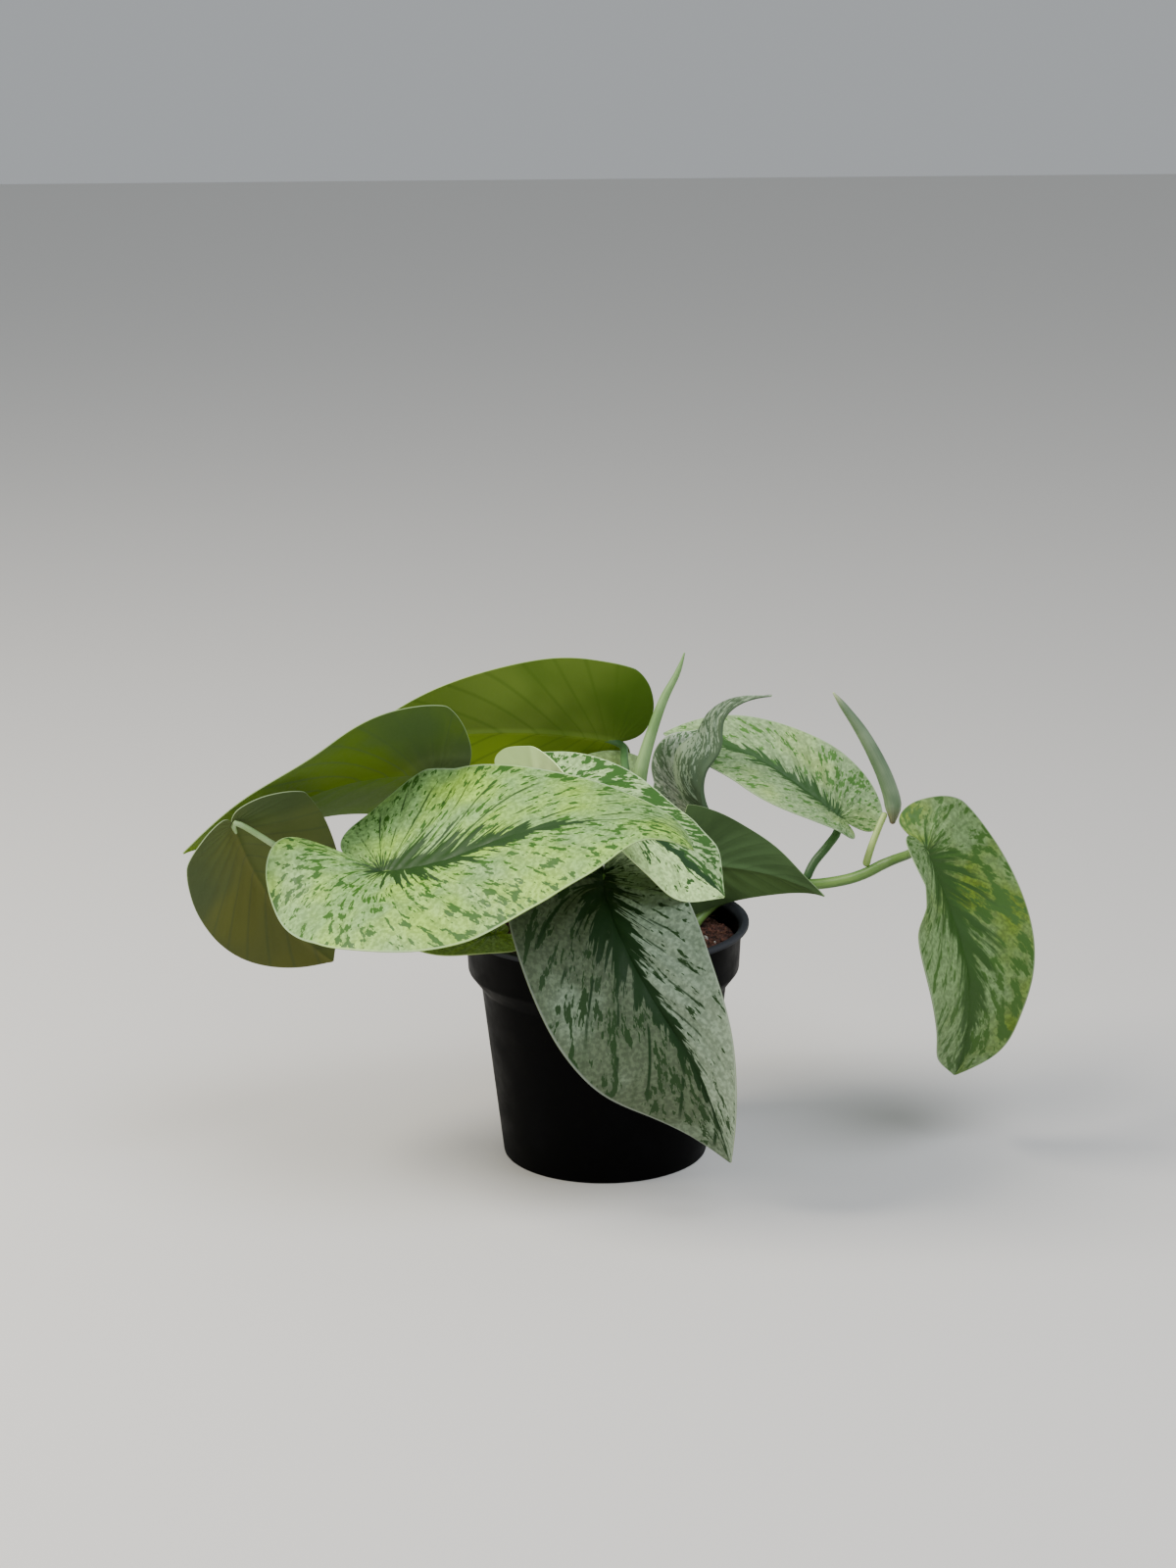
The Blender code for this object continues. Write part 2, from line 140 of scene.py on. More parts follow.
# How the plan of a blade is worked out, in shares of its length: how many side veins meet the margin of a
# half, how they crowd toward the stalk and bow out, over what stretch the midrib's direction is taken,
# and where the swelling, the blunt end and the drop beside the notch take hold.
SIDE_VEINS = 14
VEIN_SWEEP = 4.2
VEIN_BOW = 0.16
BOW_TURN = 0.36
BEND_SPAN = 0.1
SWELL_CENTRE = 0.3
BLUNT_CENTRE = 0.9
BLUNT_SPAN = 0.12
CUP_SPAN = 0.2

# Stems: the spacing of their rings, in mm, the fewest rings, and the points on a ring and on the curve
# of an end.
TUBE_STEP = 2.0
LEAST_RINGS = 8
TUBE_SIDES = 20
CAP_STEPS = 4
# The channel along a stalk: its depth as a share of the radius, and its half width in radians.
CHANNEL_DEPTH = 0.22
CHANNEL_WIDTH = 0.5
# A rolled leaf's section starts at this share of the radius, and grows by this share in one turn.
ROLL_START = 0.86
ROLL_STEP = 0.2

# A stalk that stands in the soil leaves it upright, up to this many mm above it. Every stalk ends as a rib
# under the midrib: this share of the midrib along, this many radii below its start and this many mm below
# its end, with this radius there in mm.
STALK_RISE = 2.0
RIB_REACH = 0.05
STALK_TUCK = 0.9
RIB_TUCK = 0.7
STALK_TIP = 0.6

# The margin of a blade from the stalk round one lobe to the tip, as shares of the blade's length:
# how far along the midrib, and how far out from it. The lobes lie behind the stalk.
MARGIN = (
    (0.0, 0.0),
    (-0.08, 0.01),
    (-0.17, 0.055),
    (-0.205, 0.17),
    (-0.155, 0.28),
    (-0.04, 0.37),
    (0.16, 0.40),
    (0.40, 0.365),
    (0.64, 0.275),
    (0.84, 0.145),
    (0.95, 0.05),
    (1.0, 0.0),
)
# The greatest reach of that outline to the side, and how soon the lobes rise behind the stalk.
WIDEST = 0.40
LOBE_REACH = 0.19


@dataclass(frozen=True)
class Look:
    """The colours of a blade as sRGB hex, and how much of each part of the pattern it has."""

    # The silvery upper side, its second tone, and the green that shows between them. The second tone is
    # mostly yellower patches; on front_hanging it is painted shade, and on centre_upper painted light.
    silver: str = "97b27e"
    warm_patch_and_painted_light: str = "9dba62"
    green: str = "2f5528"
    fleck: str = "477228"
    # The underside: its left and right half, and its darker end by the stalk. On back_upper and left_upper
    # its lime is partly painted light, the glow of light shining through.
    under: str = "7d9440"
    under_right: str = "7d9440"
    under_dark: str = "5a6e34"
    # How far out the green feathering reaches beside the midrib, as shares of the half width: base, tip.
    feather: tuple = (0.15, 0.09)
    # How softly the feathering ends, as a share of the half width.
    softness: float = 0.02
    # How much of each half is flecked with green, and how much has the second tone, from 0 up to about 1:
    # left, right.
    flecks: tuple = (0.5, 0.5)
    warm_patch_and_painted_light_share: tuple = (0.4, 0.4)
    # How strongly the side veins are drawn: left, right half.
    veins: tuple = (0.6, 0.6)
    # How strongly they show as darker lines on the underside.
    ribs: float = 0.16
    # How fine the feathers and flecks are.
    fineness: float = 1.0
    # How much of the upper side's pattern shows on the underside.
    show_through: float = 0.0
    # How strongly the waxy skin mirrors light. It is low where the underside shows, which is duller.
    gloss: float = 0.3
    # Makes each blade's marks and ripple its own.
    seed: float = 0.0


@dataclass(frozen=True)
class Leaf:
    """A blade and its stalk. Left and right are as seen from the stalk, with the upper side up."""

    # Points along the midrib from the stalk to the tip, in mm.
    midrib: tuple
    # The way the upper side faces, at the base and at the tip.
    faces: tuple
    # Each half's width, times the usual one: left, right.
    width: tuple = (1.0, 1.0)
    # How far each lobe reaches back, times the usual reach: left, right.
    lobe: tuple = (0.5, 0.5)
    # How far each half is folded up, in degrees at its base and tip: left, right.
    fold: tuple = ((0, 0), (0, 0))
    # How soon the fold passes from its value at the base to that at the tip.
    ease: float = 1.0
    # How much further each half turns up on its way to the margin, in degrees: left, right.
    curl: tuple = (0, 0)
    # How much wider the tip end is than the base end.
    swell: float = 0.0
    # How much fuller the blade is just before its tip.
    blunt: float = 0.0
    # How high the blade swells between its side veins, in mm.
    quilting: float = 0.5
    # How steeply the blade rises behind the stalk.
    lift: float = 0.0
    # How steeply each lobe drops beside the notch: left, right.
    cup: tuple = (0.0, 0.0)
    # Points along the stalk, in mm, up to a little short of the blade.
    stalk: tuple = ()
    # The stalk's radius at its foot and at the blade, in mm.
    stalk_radius: tuple = (1.9, 1.3)
    look: Look = Look()


LEAVES = {
    "front_large": Leaf(
        midrib=(
            (-75, -37, 114),
            (-55, -50, 121),
            (-30, -57, 132),
            (0, -65, 139),
            (21, -73, 139),
            (29, -80, 133),
        ),
        faces=((0.0, -0.43, 0.87), (0.35, -0.39, 0.75)),
        width=(0.95, 0.92),
        lobe=(0.92, 1.22),
        fold=((14, -28), (21, 4)),
        ease=1.3,
        curl=(4, -37),
        quilting=0.8,
        lift=-0.04,
        cup=(0.4, 0.95),
        stalk=((-14, -12), (-34, -23, 96), (-59, -33, 106)),
        stalk_radius=(2.2, 1.6),
        look=Look(
            silver="84aa66",
            warm_patch_and_painted_light="96c04a",
            green="244219",
            fleck="35601a",
            feather=(0.22, -0.06),
            flecks=(0.78, 0.85),
            fineness=0.8,
            warm_patch_and_painted_light_share=(0.5, 0.7),
            veins=(0.9, 0.2),
            seed=1.0,
        ),
    ),
    "front_hanging": Leaf(
        midrib=((0, -22, 108), (2, -44, 101), (13, -60, 81), (30, -68, 54), (42, -66, 19)),
        faces=((0.1, -0.45, 0.9), (-0.61, -0.69, 0.19)),
        width=(0.55, 0.83),
        lobe=(0.75, 0.65),
        cup=(0.2, 0.4),
        fold=((2, 30), (29, 13)),
        swell=0.3,
        quilting=1.0,
        stalk=((-2, -12), (-2, -13, 92), (-1, -18, 104)),
        # The right half is darker: a dim olive second tone covers nearly all of it, and it has more green
        # flecks. This is painted shade, where front_large's shadow falls.
        look=Look(
            silver="8fa187",
            warm_patch_and_painted_light="5a674e",
            green="1f381a",
            fleck="2c4424",
            feather=(0.22, 0.06),
            flecks=(0.5, 0.75),
            warm_patch_and_painted_light_share=(0.15, 1.3),
            fineness=0.7,
            veins=(0.8, 1.0),
            gloss=0.12,
            seed=2.3,
        ),
    ),
    "centre_upper": Leaf(
        midrib=((-23, 4, 127.5), (0, -12.5, 126), (14, -26, 123.5), (28, -35, 116), (41, -38, 104)),
        faces=((0.35, -0.3, 0.8), (0.7, -0.45, 0.4)),
        width=(0.8, 0.775),
        lobe=(1.0, 0.95),
        fold=((34, -4), (84, -14)),
        ease=1.6,
        swell=0.6,
        blunt=0.5,
        lift=0.06,
        stalk=((-6, 2), (-12, 3, 105), (-21, 4, 120)),
        # A very pale second tone covers most of the right half: painted light, which makes that half lighter
        # where light falls on it.
        look=Look(
            silver="a8c888",
            warm_patch_and_painted_light="d8fca4",
            green="24471f",
            fleck="3a6426",
            under="c0dc8a",
            under_right="d2e6a6",
            under_dark="bee090",
            feather=(0.17, 0.16),
            flecks=(1.45, 0.55),
            fineness=0.6,
            warm_patch_and_painted_light_share=(0.2, 1.3),
            veins=(0.5, 0.3),
            seed=3.1,
        ),
    ),
    "back_upper": Leaf(
        midrib=((6, 40, 139), (-21, 38, 143), (-56, 28, 145), (-89, 22, 141)),
        faces=((0.0, 0.85, 0.5), (0.0, 0.85, 0.5)),
        width=(0.97, 0.95),
        lobe=(0.5, 0.3),
        cup=(0.2, 0.2),
        quilting=0.2,
        stalk=((4, 10), (7, 10, 105), (8.5, 15, 124), (8, 26, 135)),
        # The bright lime of the underside, most on its right half, is partly painted light: the glow of light
        # shining through the blade.
        look=Look(under="829840", under_right="98b42c", under_dark="5c7a2a", ribs=0.4, gloss=0.08, seed=4.7),
    ),
    "left_upper": Leaf(
        midrib=((-56, 4, 137), (-87, 0, 136), (-116, -10, 127), (-145, -13, 114)),
        faces=((0.0, 0.75, 0.62), (0.04, 0.4, 0.9)),
        width=(1.0, 0.9),
        lobe=(0.5, 0.4),
        fold=((3, 0), (7, 0)),
        lift=-0.1,
        cup=(-0.2, -0.2),
        quilting=0.2,
        stalk=((-20, 12), (-30, 12, 105), (-48, 8, 127)),
        # The lime of the underside is partly painted light, the glow of light shining through the blade; its
        # right half is darker.
        look=Look(under="6a821e", under_right="587818", under_dark="54693c", ribs=0.45, gloss=0.08, seed=5.2),
    ),
    "left_lower": Leaf(
        midrib=((-125, -36, 131), (-120, -21, 110), (-109, -5, 85), (-96, 10, 67)),
        faces=((-0.55, 0.75, 0.4), (-0.55, 0.75, 0.4)),
        width=(0.77, 0.91),
        lobe=(0.35, 0.35),
        fold=((-18, 2), (-10, 1)),
        swell=0.35,
        quilting=0.3,
        stalk=((-24, 0), (-45, -3, 92), (-80, -14, 103), (-106, -26, 117)),
        stalk_radius=(1.9, 1.0),
        look=Look(under="646834", under_right="5e6836", under_dark="4c5838", ribs=0.4, gloss=0.08, seed=6.4),
    ),
    "right_dark": Leaf(
        midrib=((27, 0, 105), (45, 6, 102), (61, 8, 98), (78, 5, 91)),
        faces=((-0.05, 1.0, 0.0), (0.08, 0.74, 0.59)),
        width=(0.84, 0.86),
        lobe=(0.5, 0.1),
        swell=-0.6,
        quilting=0.3,
        stalk=((6, -4), (10, -7, 92), (19, -5, 101)),
        look=Look(under="587240", under_right="587448", under_dark="455c36", ribs=0.3, gloss=0.08, seed=7.9),
    ),
    "half_rolled": Leaf(
        midrib=((39, 26, 113), (36, 22, 132), (41, 22, 140), (43, 22, 152), (60, 21, 160)),
        faces=((-0.64, 0.26, 0.56), (0.02, 0.17, 0.84)),
        width=(1.1, 0.7),
        lobe=(0.3, 0.2),
        fold=((84, 10), (56, 57)),
        ease=0.8,
        curl=(0, 107),
        swell=-1.3,
        stalk=((26, 20), (31, 22, 90), (37, 25, 106)),
        look=Look(
            silver="98a892",
            warm_patch_and_painted_light="9aa688",
            green="3f5638",
            fleck="4f6a48",
            under="a0b496",
            under_right="a0b496",
            under_dark="7c9070",
            feather=(0.2, 0.2),
            flecks=(1.2, 1.2),
            warm_patch_and_painted_light_share=(0.2, 0.2),
            veins=(1.0, 1.0),
            show_through=0.8,
            gloss=0.12,
            seed=8.5,
        ),
    ),
    "right_back": Leaf(
        midrib=((85, 28, 113), (72, 31, 123), (53, 38, 134), (22, 43, 141)),
        faces=((0.0, -0.4, 0.9), (0.0, -0.58, 0.8)),
        width=(0.92, 0.86),
        lobe=(0.5, 0.9),
        fold=((34, 4), (2, -2)),
        stalk=((73, 20.4, 94.1), (75, 21.5, 98), (80, 23, 104), (84, 26.5, 109)),
        stalk_radius=(1.7, 1.6),
        look=Look(
            silver="92ae78",
            warm_patch_and_painted_light="9fbc6c",
            green="355a26",
            fleck="4c7a30",
            under="86a66a",
            under_right="86a66a",
            under_dark="6f9060",
            feather=(0.13, 0.15),
            flecks=(0.8, 0.8),
            warm_patch_and_painted_light_share=(0.3, 0.3),
            veins=(0.4, 0.4),
            fineness=0.7,
            seed=9.6,
        ),
    ),
    "vine_end": Leaf(
        midrib=((112, -4, 111), (118, -2, 97), (128, -8, 61), (124, -1, 26)),
        faces=((0.39, -0.59, 0.58), (0.3, -0.87, 0.04)),
        width=(0.85, 0.84),
        lobe=(0.6, 0.5),
        fold=((2, 11), (31, 24)),
        swell=0.25,
        blunt=0.28,
        lift=-0.05,
        cup=(-1.0, -0.4),
        stalk=((97.7, 12, 99.8), (101.5, 11, 101.9), (107, 5, 106)),
        stalk_radius=(2.0, 1.5),
        look=Look(
            silver="74905a",
            warm_patch_and_painted_light="627c18",
            green="305219",
            fleck="3d621f",
            under="7f9c46",
            under_right="7f9c46",
            under_dark="64833f",
            feather=(0.25, 0.22),
            softness=0.14,
            flecks=(1.2, 1.0),
            warm_patch_and_painted_light_share=(0.8, 0.1),
            veins=(0.3, 0.3),
            fineness=0.45,
            seed=10.8,
        ),
    ),
    "on_rim": Leaf(
        midrib=((-37, -29, 88.5), (-50, -33, 88.5), (-62, -34, 89), (-76, -32, 90)),
        faces=((0.0, -0.05, 1.0), (0.0, -0.05, 1.0)),
        width=(1.05, 1.0),
        lobe=(0.8, 0.8),
        stalk=((-22, -18), (-27, -22, 82)),
        stalk_radius=(1.6, 1.2),
        # All its colours are about half again paler than the blade's own: painted light, which lifts it out
        # of front_large's shadow.
        look=Look(
            silver="b6cc80",
            warm_patch_and_painted_light="b0c668",
            green="809c4c",
            fleck="8aa856",
            under="94ae60",
            under_right="94ae60",
            under_dark="7c9850",
            seed=11.3,
        ),
    ),
    "centre_pale": Leaf(
        midrib=((11.5, 38, 123.5), (4.5, 37, 126.5), (-3.5, 37, 127.5), (-16.5, 38, 126.5)),
        faces=((0.0, -0.93, 0.36), (0.0, -0.93, 0.36)),
        width=(0.85, 0.85),
        lobe=(0.3, 0.3),
        stalk=((12, 26), (13.5, 34, 95), (13.5, 39, 113.5)),
        stalk_radius=(1.5, 1.0),
        look=Look(
            silver="a6c486",
            warm_patch_and_painted_light="acca74",
            green="8cae64",
            fleck="92b468",
            under="a2c078",
            under_right="a2c078",
            under_dark="8cac64",
            feather=(0.05, 0.03),
            flecks=(0.3, 0.3),
            veins=(0.2, 0.2),
            seed=12.9,
        ),
    ),
}

# Marks on a blade, in mm: their width across the side veins and their length along them. A blade's
# margin and half width are taken as their usual sizes.
MARGIN_LENGTH = 150.0
HALF_WIDTH = 40.0
FEATHER_SIZE = (1.8, 12.0)
FLECK_SIZE = (1.6, 3.6)
VEIN_BREAK_SIZE = (11.0, 8.0)
# Patches that don't follow the veins, in mm across. The skin's real grain is finer than this one, which is
# drawn as coarse as it needs to show.
SKIN_GRAIN = 1.4
FLECKED_PATCH = 11.0
WARM_PATCH = 25.0
UNDERSIDE_PATCH = 33.0

# Marks on a stem, in mm: its patches, and the length and width of its lines. A stem's length and half its
# way round are taken as their usual sizes.
STEM_PATCH = 11.0
STEM_LINE = (30.0, 0.125)
STEM_LENGTH = 90.0
STEM_HALF_ROUND = 5.0

# Marks on the pot, in mm: patches of dust, and the grain of the mould, drawn coarser than it is.
DUST_PATCH = 17.0
MOULD_GRAIN = 0.4

# The vine, in mm: out of the soil, over the rim and on to where its last leaf stalks part.
VINE = (
    (30, 6, 65),
    (31, 7, 78),
    (40, 15, 86),
    (52, 20, 88.8),
    (66, 20, 90.5),
    (80, 17, 92.3),
    (90, 14, 95.5),
    (97, 12, 99.5),
)
VINE_RADIUS = (2.1, 1.9)

# Rolled leaves that haven't opened, and the stalk of one, in mm: points on the middle line, each with
# the radius there.
SPIKE = (
    (14, 14, 65, 1.8),
    (14, 16, 90, 1.9),
    (13, 18, 111, 2.3),
    (13, 18, 129, 2.7),
    (18, 18, 149, 1.9),
    (22, 18, 160, 1.6),
    (27, 18, 170, 1.0),
    (29, 18, 176, 0.3),
)
NEW_LEAF = (
    (102.3, 15, 115.5, 1.2),
    (102.5, 15, 120.5, 3.1),
    (100, 15, 130, 2.9),
    (96, 15, 139, 2.6),
    (91, 15, 148, 2.2),
    (84, 15, 158, 1.3),
    (81, 15, 162, 0.4),
)
NEW_LEAF_STALK = (
    (93.2, 13, 100.9, 1.5),
    (94.5, 12.4, 106, 1.4),
    (96.8, 13.5, 112, 1.3),
    (99.3, 14.9, 117.5, 1.2),
)

# The camera at the photo's viewing angle, in mm and degrees.
CAMERA_PLACE = (-5.0, -1123.0, 437.0)
CAMERA_PITCH = 15.1
CAMERA_ROLL = -0.5
CAMERA_LENS = 77.0
CAMERA_SENSOR = 36.0

# The studio, in metres: half the floor's side, and the place that the lights are turned to.
FLOOR_REACH = 4.0
LIT_PLACE = (0.0, 0.0, 0.1)


def linear(hex_colour):
    """The linear RGBA of an sRGB hex colour."""
    parts = np.array([int(hex_colour[i : i + 2], 16) for i in (0, 2, 4)]) / 255
    parts = np.where(parts <= 0.04045, parts / 12.92, ((parts + 0.055) / 1.055) ** 2.4)
    return (*parts.tolist(), 1.0)


def add(tree, kind, settings=None, inputs=None):
    """Adds a node with its settings, and fills its inputs with numbers, colours or other nodes' outputs."""
    node = tree.nodes.new(kind)
    for name, value in (settings or {}).items():
        setattr(node, name, value)
    for name, value in (inputs or {}).items():
        socket = node.inputs[name]
        if isinstance(value, bpy.types.NodeSocket):
            tree.links.new(value, socket)
        else:
            socket.default_value = value
    return node


def maths(tree, operation, *values):
    """One arithmetic step on numbers or outputs."""
    inputs = dict(enumerate(values))
    return add(tree, "ShaderNodeMath", {"operation": operation}, inputs).outputs[0]


def mixed(tree, factor, first, second, blend_type="MIX"):
    """A colour between two others."""
    settings = {"data_type": "RGBA", "blend_type": blend_type}
    return add(tree, "ShaderNodeMix", settings, {0: factor, 6: first, 7: second}).outputs[2]


def ramped(tree, value, low, high, to_low=0.0, to_high=1.0):
    """The value eased from one range to another, and held at its ends."""
    settings = {"interpolation_type": "SMOOTHSTEP"}
    inputs = {0: value, 1: low, 2: high, 3: to_low, 4: to_high}
    return add(tree, "ShaderNodeMapRange", settings, inputs).outputs[0]


def per_mark(size):
    """The scale of a noise, in Object coordinates, whose marks are this many mm across."""
    return 1 / (size * MM)


def noise(tree, vector, scale, detail=2.0, roughness=0.5):
    """A noise value, mostly between 0.3 and 0.7."""
    inputs = {"Vector": vector, "Scale": scale, "Detail": detail, "Roughness": roughness}
    return add(tree, "ShaderNodeTexNoise", None, inputs).outputs[0]


def new_material(name, **settings):
    """A material with a Principled shader, and that shader with these of its inputs set."""
    material = bpy.data.materials.new(name)
    material.use_nodes = True
    shader = material.node_tree.nodes["Principled BSDF"]
    for socket, value in settings.items():
        shader.inputs[socket.replace("_", " ")].default_value = value
    return material, material.node_tree, shader


def bumped(tree, shader, height, strength, distance):
    """Raises the shader's surface by the height, times the distance in mm."""
    inputs = {"Height": height, "Strength": strength, "Distance": distance * MM}
    bump = add(tree, "ShaderNodeBump", None, inputs)
    tree.links.new(bump.outputs[0], shader.inputs["Normal"])


def vein_place(tree, along, out, seed, mark):
    """A place in the blade's own coordinates, where noise gives marks of this width and length in mm.

    The marks run along the side veins.
    """
    width, length = mark
    inputs = {
        0: maths(tree, "MULTIPLY", along, MARGIN_LENGTH / width),
        1: maths(tree, "MULTIPLY", out, HALF_WIDTH / length),
        2: seed,
    }
    return add(tree, "ShaderNodeCombineXYZ", None, inputs).outputs[0]


def by_half(tree, left, values):
    """The first value where left is 1, and the second where it is 0."""
    return maths(tree, "MULTIPLY_ADD", left, values[0] - values[1], values[1])


def feathered_band(tree, look, along, out, streak):
    """Where the green beside the midrib is, from 0 to 1. It ends in jags along the side veins."""
    base_reach, tip_reach = look.feather
    root = maths(tree, "POWER", along, VEIN_SWEEP)
    reach = maths(tree, "MULTIPLY_ADD", root, tip_reach - base_reach, base_reach)
    reach = maths(tree, "MULTIPLY", reach, ramped(tree, along, 0.3, 0.6, 0.4, 1.0))
    jagged = maths(tree, "MULTIPLY", reach, ramped(tree, streak, 0.32, 0.70, 0.45, 2.6))
    return ramped(tree, maths(tree, "SUBTRACT", jagged, out), -look.softness, look.softness)


def green_flecks(tree, look, place, left, fleck):
    """Where the green flecks are, from 0 to 1. They gather in patches."""
    patchy = noise(tree, place, per_mark(FLECKED_PATCH), 1.0)
    level = maths(tree, "MULTIPLY_ADD", patchy, 0.35, fleck)
    limit = by_half(tree, left, [0.86 - 0.16 * share for share in look.flecks])
    return ramped(tree, maths(tree, "SUBTRACT", level, limit), 0.0, 0.02 + look.softness / 2)


def drawn_veins(tree, look, out, left, near_vein, dash):
    """Where the side veins show, from 0 to 1: as thin broken lines that stop short of the margin."""
    thin = ramped(tree, near_vein, 0.02, 0.07, 1.0, 0.0)
    broken = ramped(tree, dash, 0.42, 0.52)
    inner = ramped(tree, out, 0.70, 0.92, 1.0, 0.0)
    lines = maths(tree, "MULTIPLY", maths(tree, "MULTIPLY", thin, broken), inner)
    return maths(tree, "MULTIPLY", lines, by_half(tree, left, look.veins))


def silvery_ground(tree, look, place, left):
    """The silver of the upper side, with its yellower patches, which on front_hanging are painted shade and
    on centre_upper painted light.
    """
    limit = by_half(tree, left, [0.62 - 0.25 * share for share in look.warm_patch_and_painted_light_share])
    level = maths(tree, "SUBTRACT", noise(tree, place, per_mark(WARM_PATCH), 3.0), limit)
    return mixed(tree, ramped(tree, level, -0.08, 0.2), linear(look.silver), linear(look.warm_patch_and_painted_light))


def upper_side(tree, look, ground, grain, out, streak, pattern):
    """The upper side's colour: the speckled ground, the green pattern over it, and a paler rim."""
    feather, flecks, vein_lines = pattern
    speckle = ramped(tree, grain, 0.35, 0.62, 1.22, 0.8)
    grainy = add(tree, "ShaderNodeCombineColor", None, {0: speckle, 1: speckle, 2: speckle}).outputs[0]
    upper = mixed(tree, 1.0, ground, grainy, "MULTIPLY")
    upper = mixed(tree, ramped(tree, streak, 0.45, 0.7, 0.0, 0.25), upper, linear(look.fleck))
    upper = mixed(tree, flecks, upper, linear(look.fleck))
    upper = mixed(tree, vein_lines, upper, linear(look.green))
    upper = mixed(tree, feather, upper, linear(look.green))
    rim = mixed(tree, 0.12, ground, (1.0, 1.0, 1.0, 1.0))
    return mixed(tree, ramped(tree, out, 0.98, 0.995), upper, rim)


def lower_side(tree, look, place, along, left, near_vein, pattern):
    """The underside's colour: darker by the stalk and at the veins. The green above may show through."""
    lower = mixed(tree, left, linear(look.under_right), linear(look.under))
    by_stalk = ramped(tree, along, 0.25, 0.95, 0.75, 0.0)
    cloudy = noise(tree, place, per_mark(UNDERSIDE_PATCH), 2.0)
    mottled = maths(tree, "ADD", by_stalk, ramped(tree, cloudy, 0.3, 0.7, -0.25, 0.3))
    lower = mixed(tree, ramped(tree, mottled, 0.0, 1.0), lower, linear(look.under_dark))
    ribs = ramped(tree, near_vein, 0.01, 0.12, look.ribs, 0.0)
    lower = mixed(tree, ribs, lower, linear(look.under_dark))
    feather, flecks, vein_lines = pattern
    green = maths(tree, "MAXIMUM", flecks, maths(tree, "MAXIMUM", feather, vein_lines))
    return mixed(tree, maths(tree, "MULTIPLY", green, look.show_through), lower, linear(look.green))


def blade_material(name, look):
    """A living leaf blade with a waxy skin.

    Tiny air pockets under the skin of the upper side scatter light and look silvery. Green shows where
    there are none: in a feathered band beside the midrib and in flecks that run along the side veins.
    """
    material, tree, shader = new_material("living leaf, " + name, Specular_IOR_Level=look.gloss)
    place = add(tree, "ShaderNodeTexCoord").outputs["Object"]
    veins = add(tree, "ShaderNodeUVMap", {"uv_map": "veins"}).outputs[0]
    split = add(tree, "ShaderNodeSeparateXYZ", None, {0: veins})
    along, across = split.outputs[0], split.outputs[1]
    out = maths(tree, "ABSOLUTE", across)
    left = ramped(tree, across, -0.03, 0.03)
    seed = maths(tree, "MULTIPLY_ADD", maths(tree, "SIGN", across), 3.7, look.seed * 10)
    saw = maths(tree, "FRACT", maths(tree, "MULTIPLY", along, SIDE_VEINS))
    near_vein = maths(tree, "ABSOLUTE", maths(tree, "SUBTRACT", saw, 0.5))

    streak = noise(tree, vein_place(tree, along, out, seed, FEATHER_SIZE), look.fineness, 3.0, 0.6)
    fleck = noise(tree, vein_place(tree, along, out, seed, FLECK_SIZE), look.fineness, 3.0, 0.6)
    dash = noise(tree, vein_place(tree, along, out, seed, VEIN_BREAK_SIZE), 1.0, 2.0)
    grain = noise(tree, place, per_mark(SKIN_GRAIN), 2.0)
    pattern = (
        feathered_band(tree, look, along, out, streak),
        green_flecks(tree, look, place, left, fleck),
        drawn_veins(tree, look, out, left, near_vein, dash),
    )
    ground = silvery_ground(tree, look, place, left)
    upper = upper_side(tree, look, ground, grain, out, streak, pattern)
    lower = lower_side(tree, look, place, along, left, near_vein, pattern)
    underside = add(tree, "ShaderNodeAttribute", {"attribute_name": "underside"}).outputs["Fac"]
    tree.links.new(mixed(tree, underside, upper, lower), shader.inputs["Base Color"])
    waxy = ramped(tree, grain, 0.3, 0.7, 0.45, 0.6)
    tree.links.new(maths(tree, "MULTIPLY_ADD", underside, 0.2, waxy), shader.inputs["Roughness"])
    bumped(tree, shader, grain, 0.25, 0.2)
    return material


def stem_material(name, colour, dark, seed, foot=None, tip=None):
    """Living green stem: a smooth waxy skin with faint lines along it.

    With these two colours, it is browned at its foot and paler at its tip.
    """
    material, tree, shader = new_material("living stem, " + name, Roughness=0.42)
    place = add(tree, "ShaderNodeTexCoord").outputs["Object"]
    lines = add(tree, "ShaderNodeUVMap", {"uv_map": "veins"}).outputs[0]
    scale = (STEM_LENGTH / STEM_LINE[0], STEM_HALF_ROUND / STEM_LINE[1], 1.0)
    scaled = add(tree, "ShaderNodeMapping", None, {"Vector": lines, "Scale": scale})
    scaled.inputs["Location"].default_value = (seed, seed, 0.0)
    streak = noise(tree, scaled.outputs[0], 1.0, 3.0)
    mottle = noise(tree, place, per_mark(STEM_PATCH), 2.0)
    level = maths(tree, "MULTIPLY_ADD", mottle, 0.5, maths(tree, "MULTIPLY", streak, 0.5))
    colours = mixed(tree, ramped(tree, level, 0.38, 0.62), linear(colour), linear(dark))
    if foot:
        along = add(tree, "ShaderNodeSeparateXYZ", None, {0: lines}).outputs[0]
        browned = maths(tree, "MULTIPLY_ADD", mottle, 0.2, along)
        colours = mixed(tree, ramped(tree, browned, 0.12, 0.3, 1.0, 0.0), colours, linear(foot))
        colours = mixed(tree, ramped(tree, browned, 0.9, 1.05), colours, linear(tip))
    tree.links.new(colours, shader.inputs["Base Color"])
    bumped(tree, shader, streak, 0.3, 0.2)
    return material


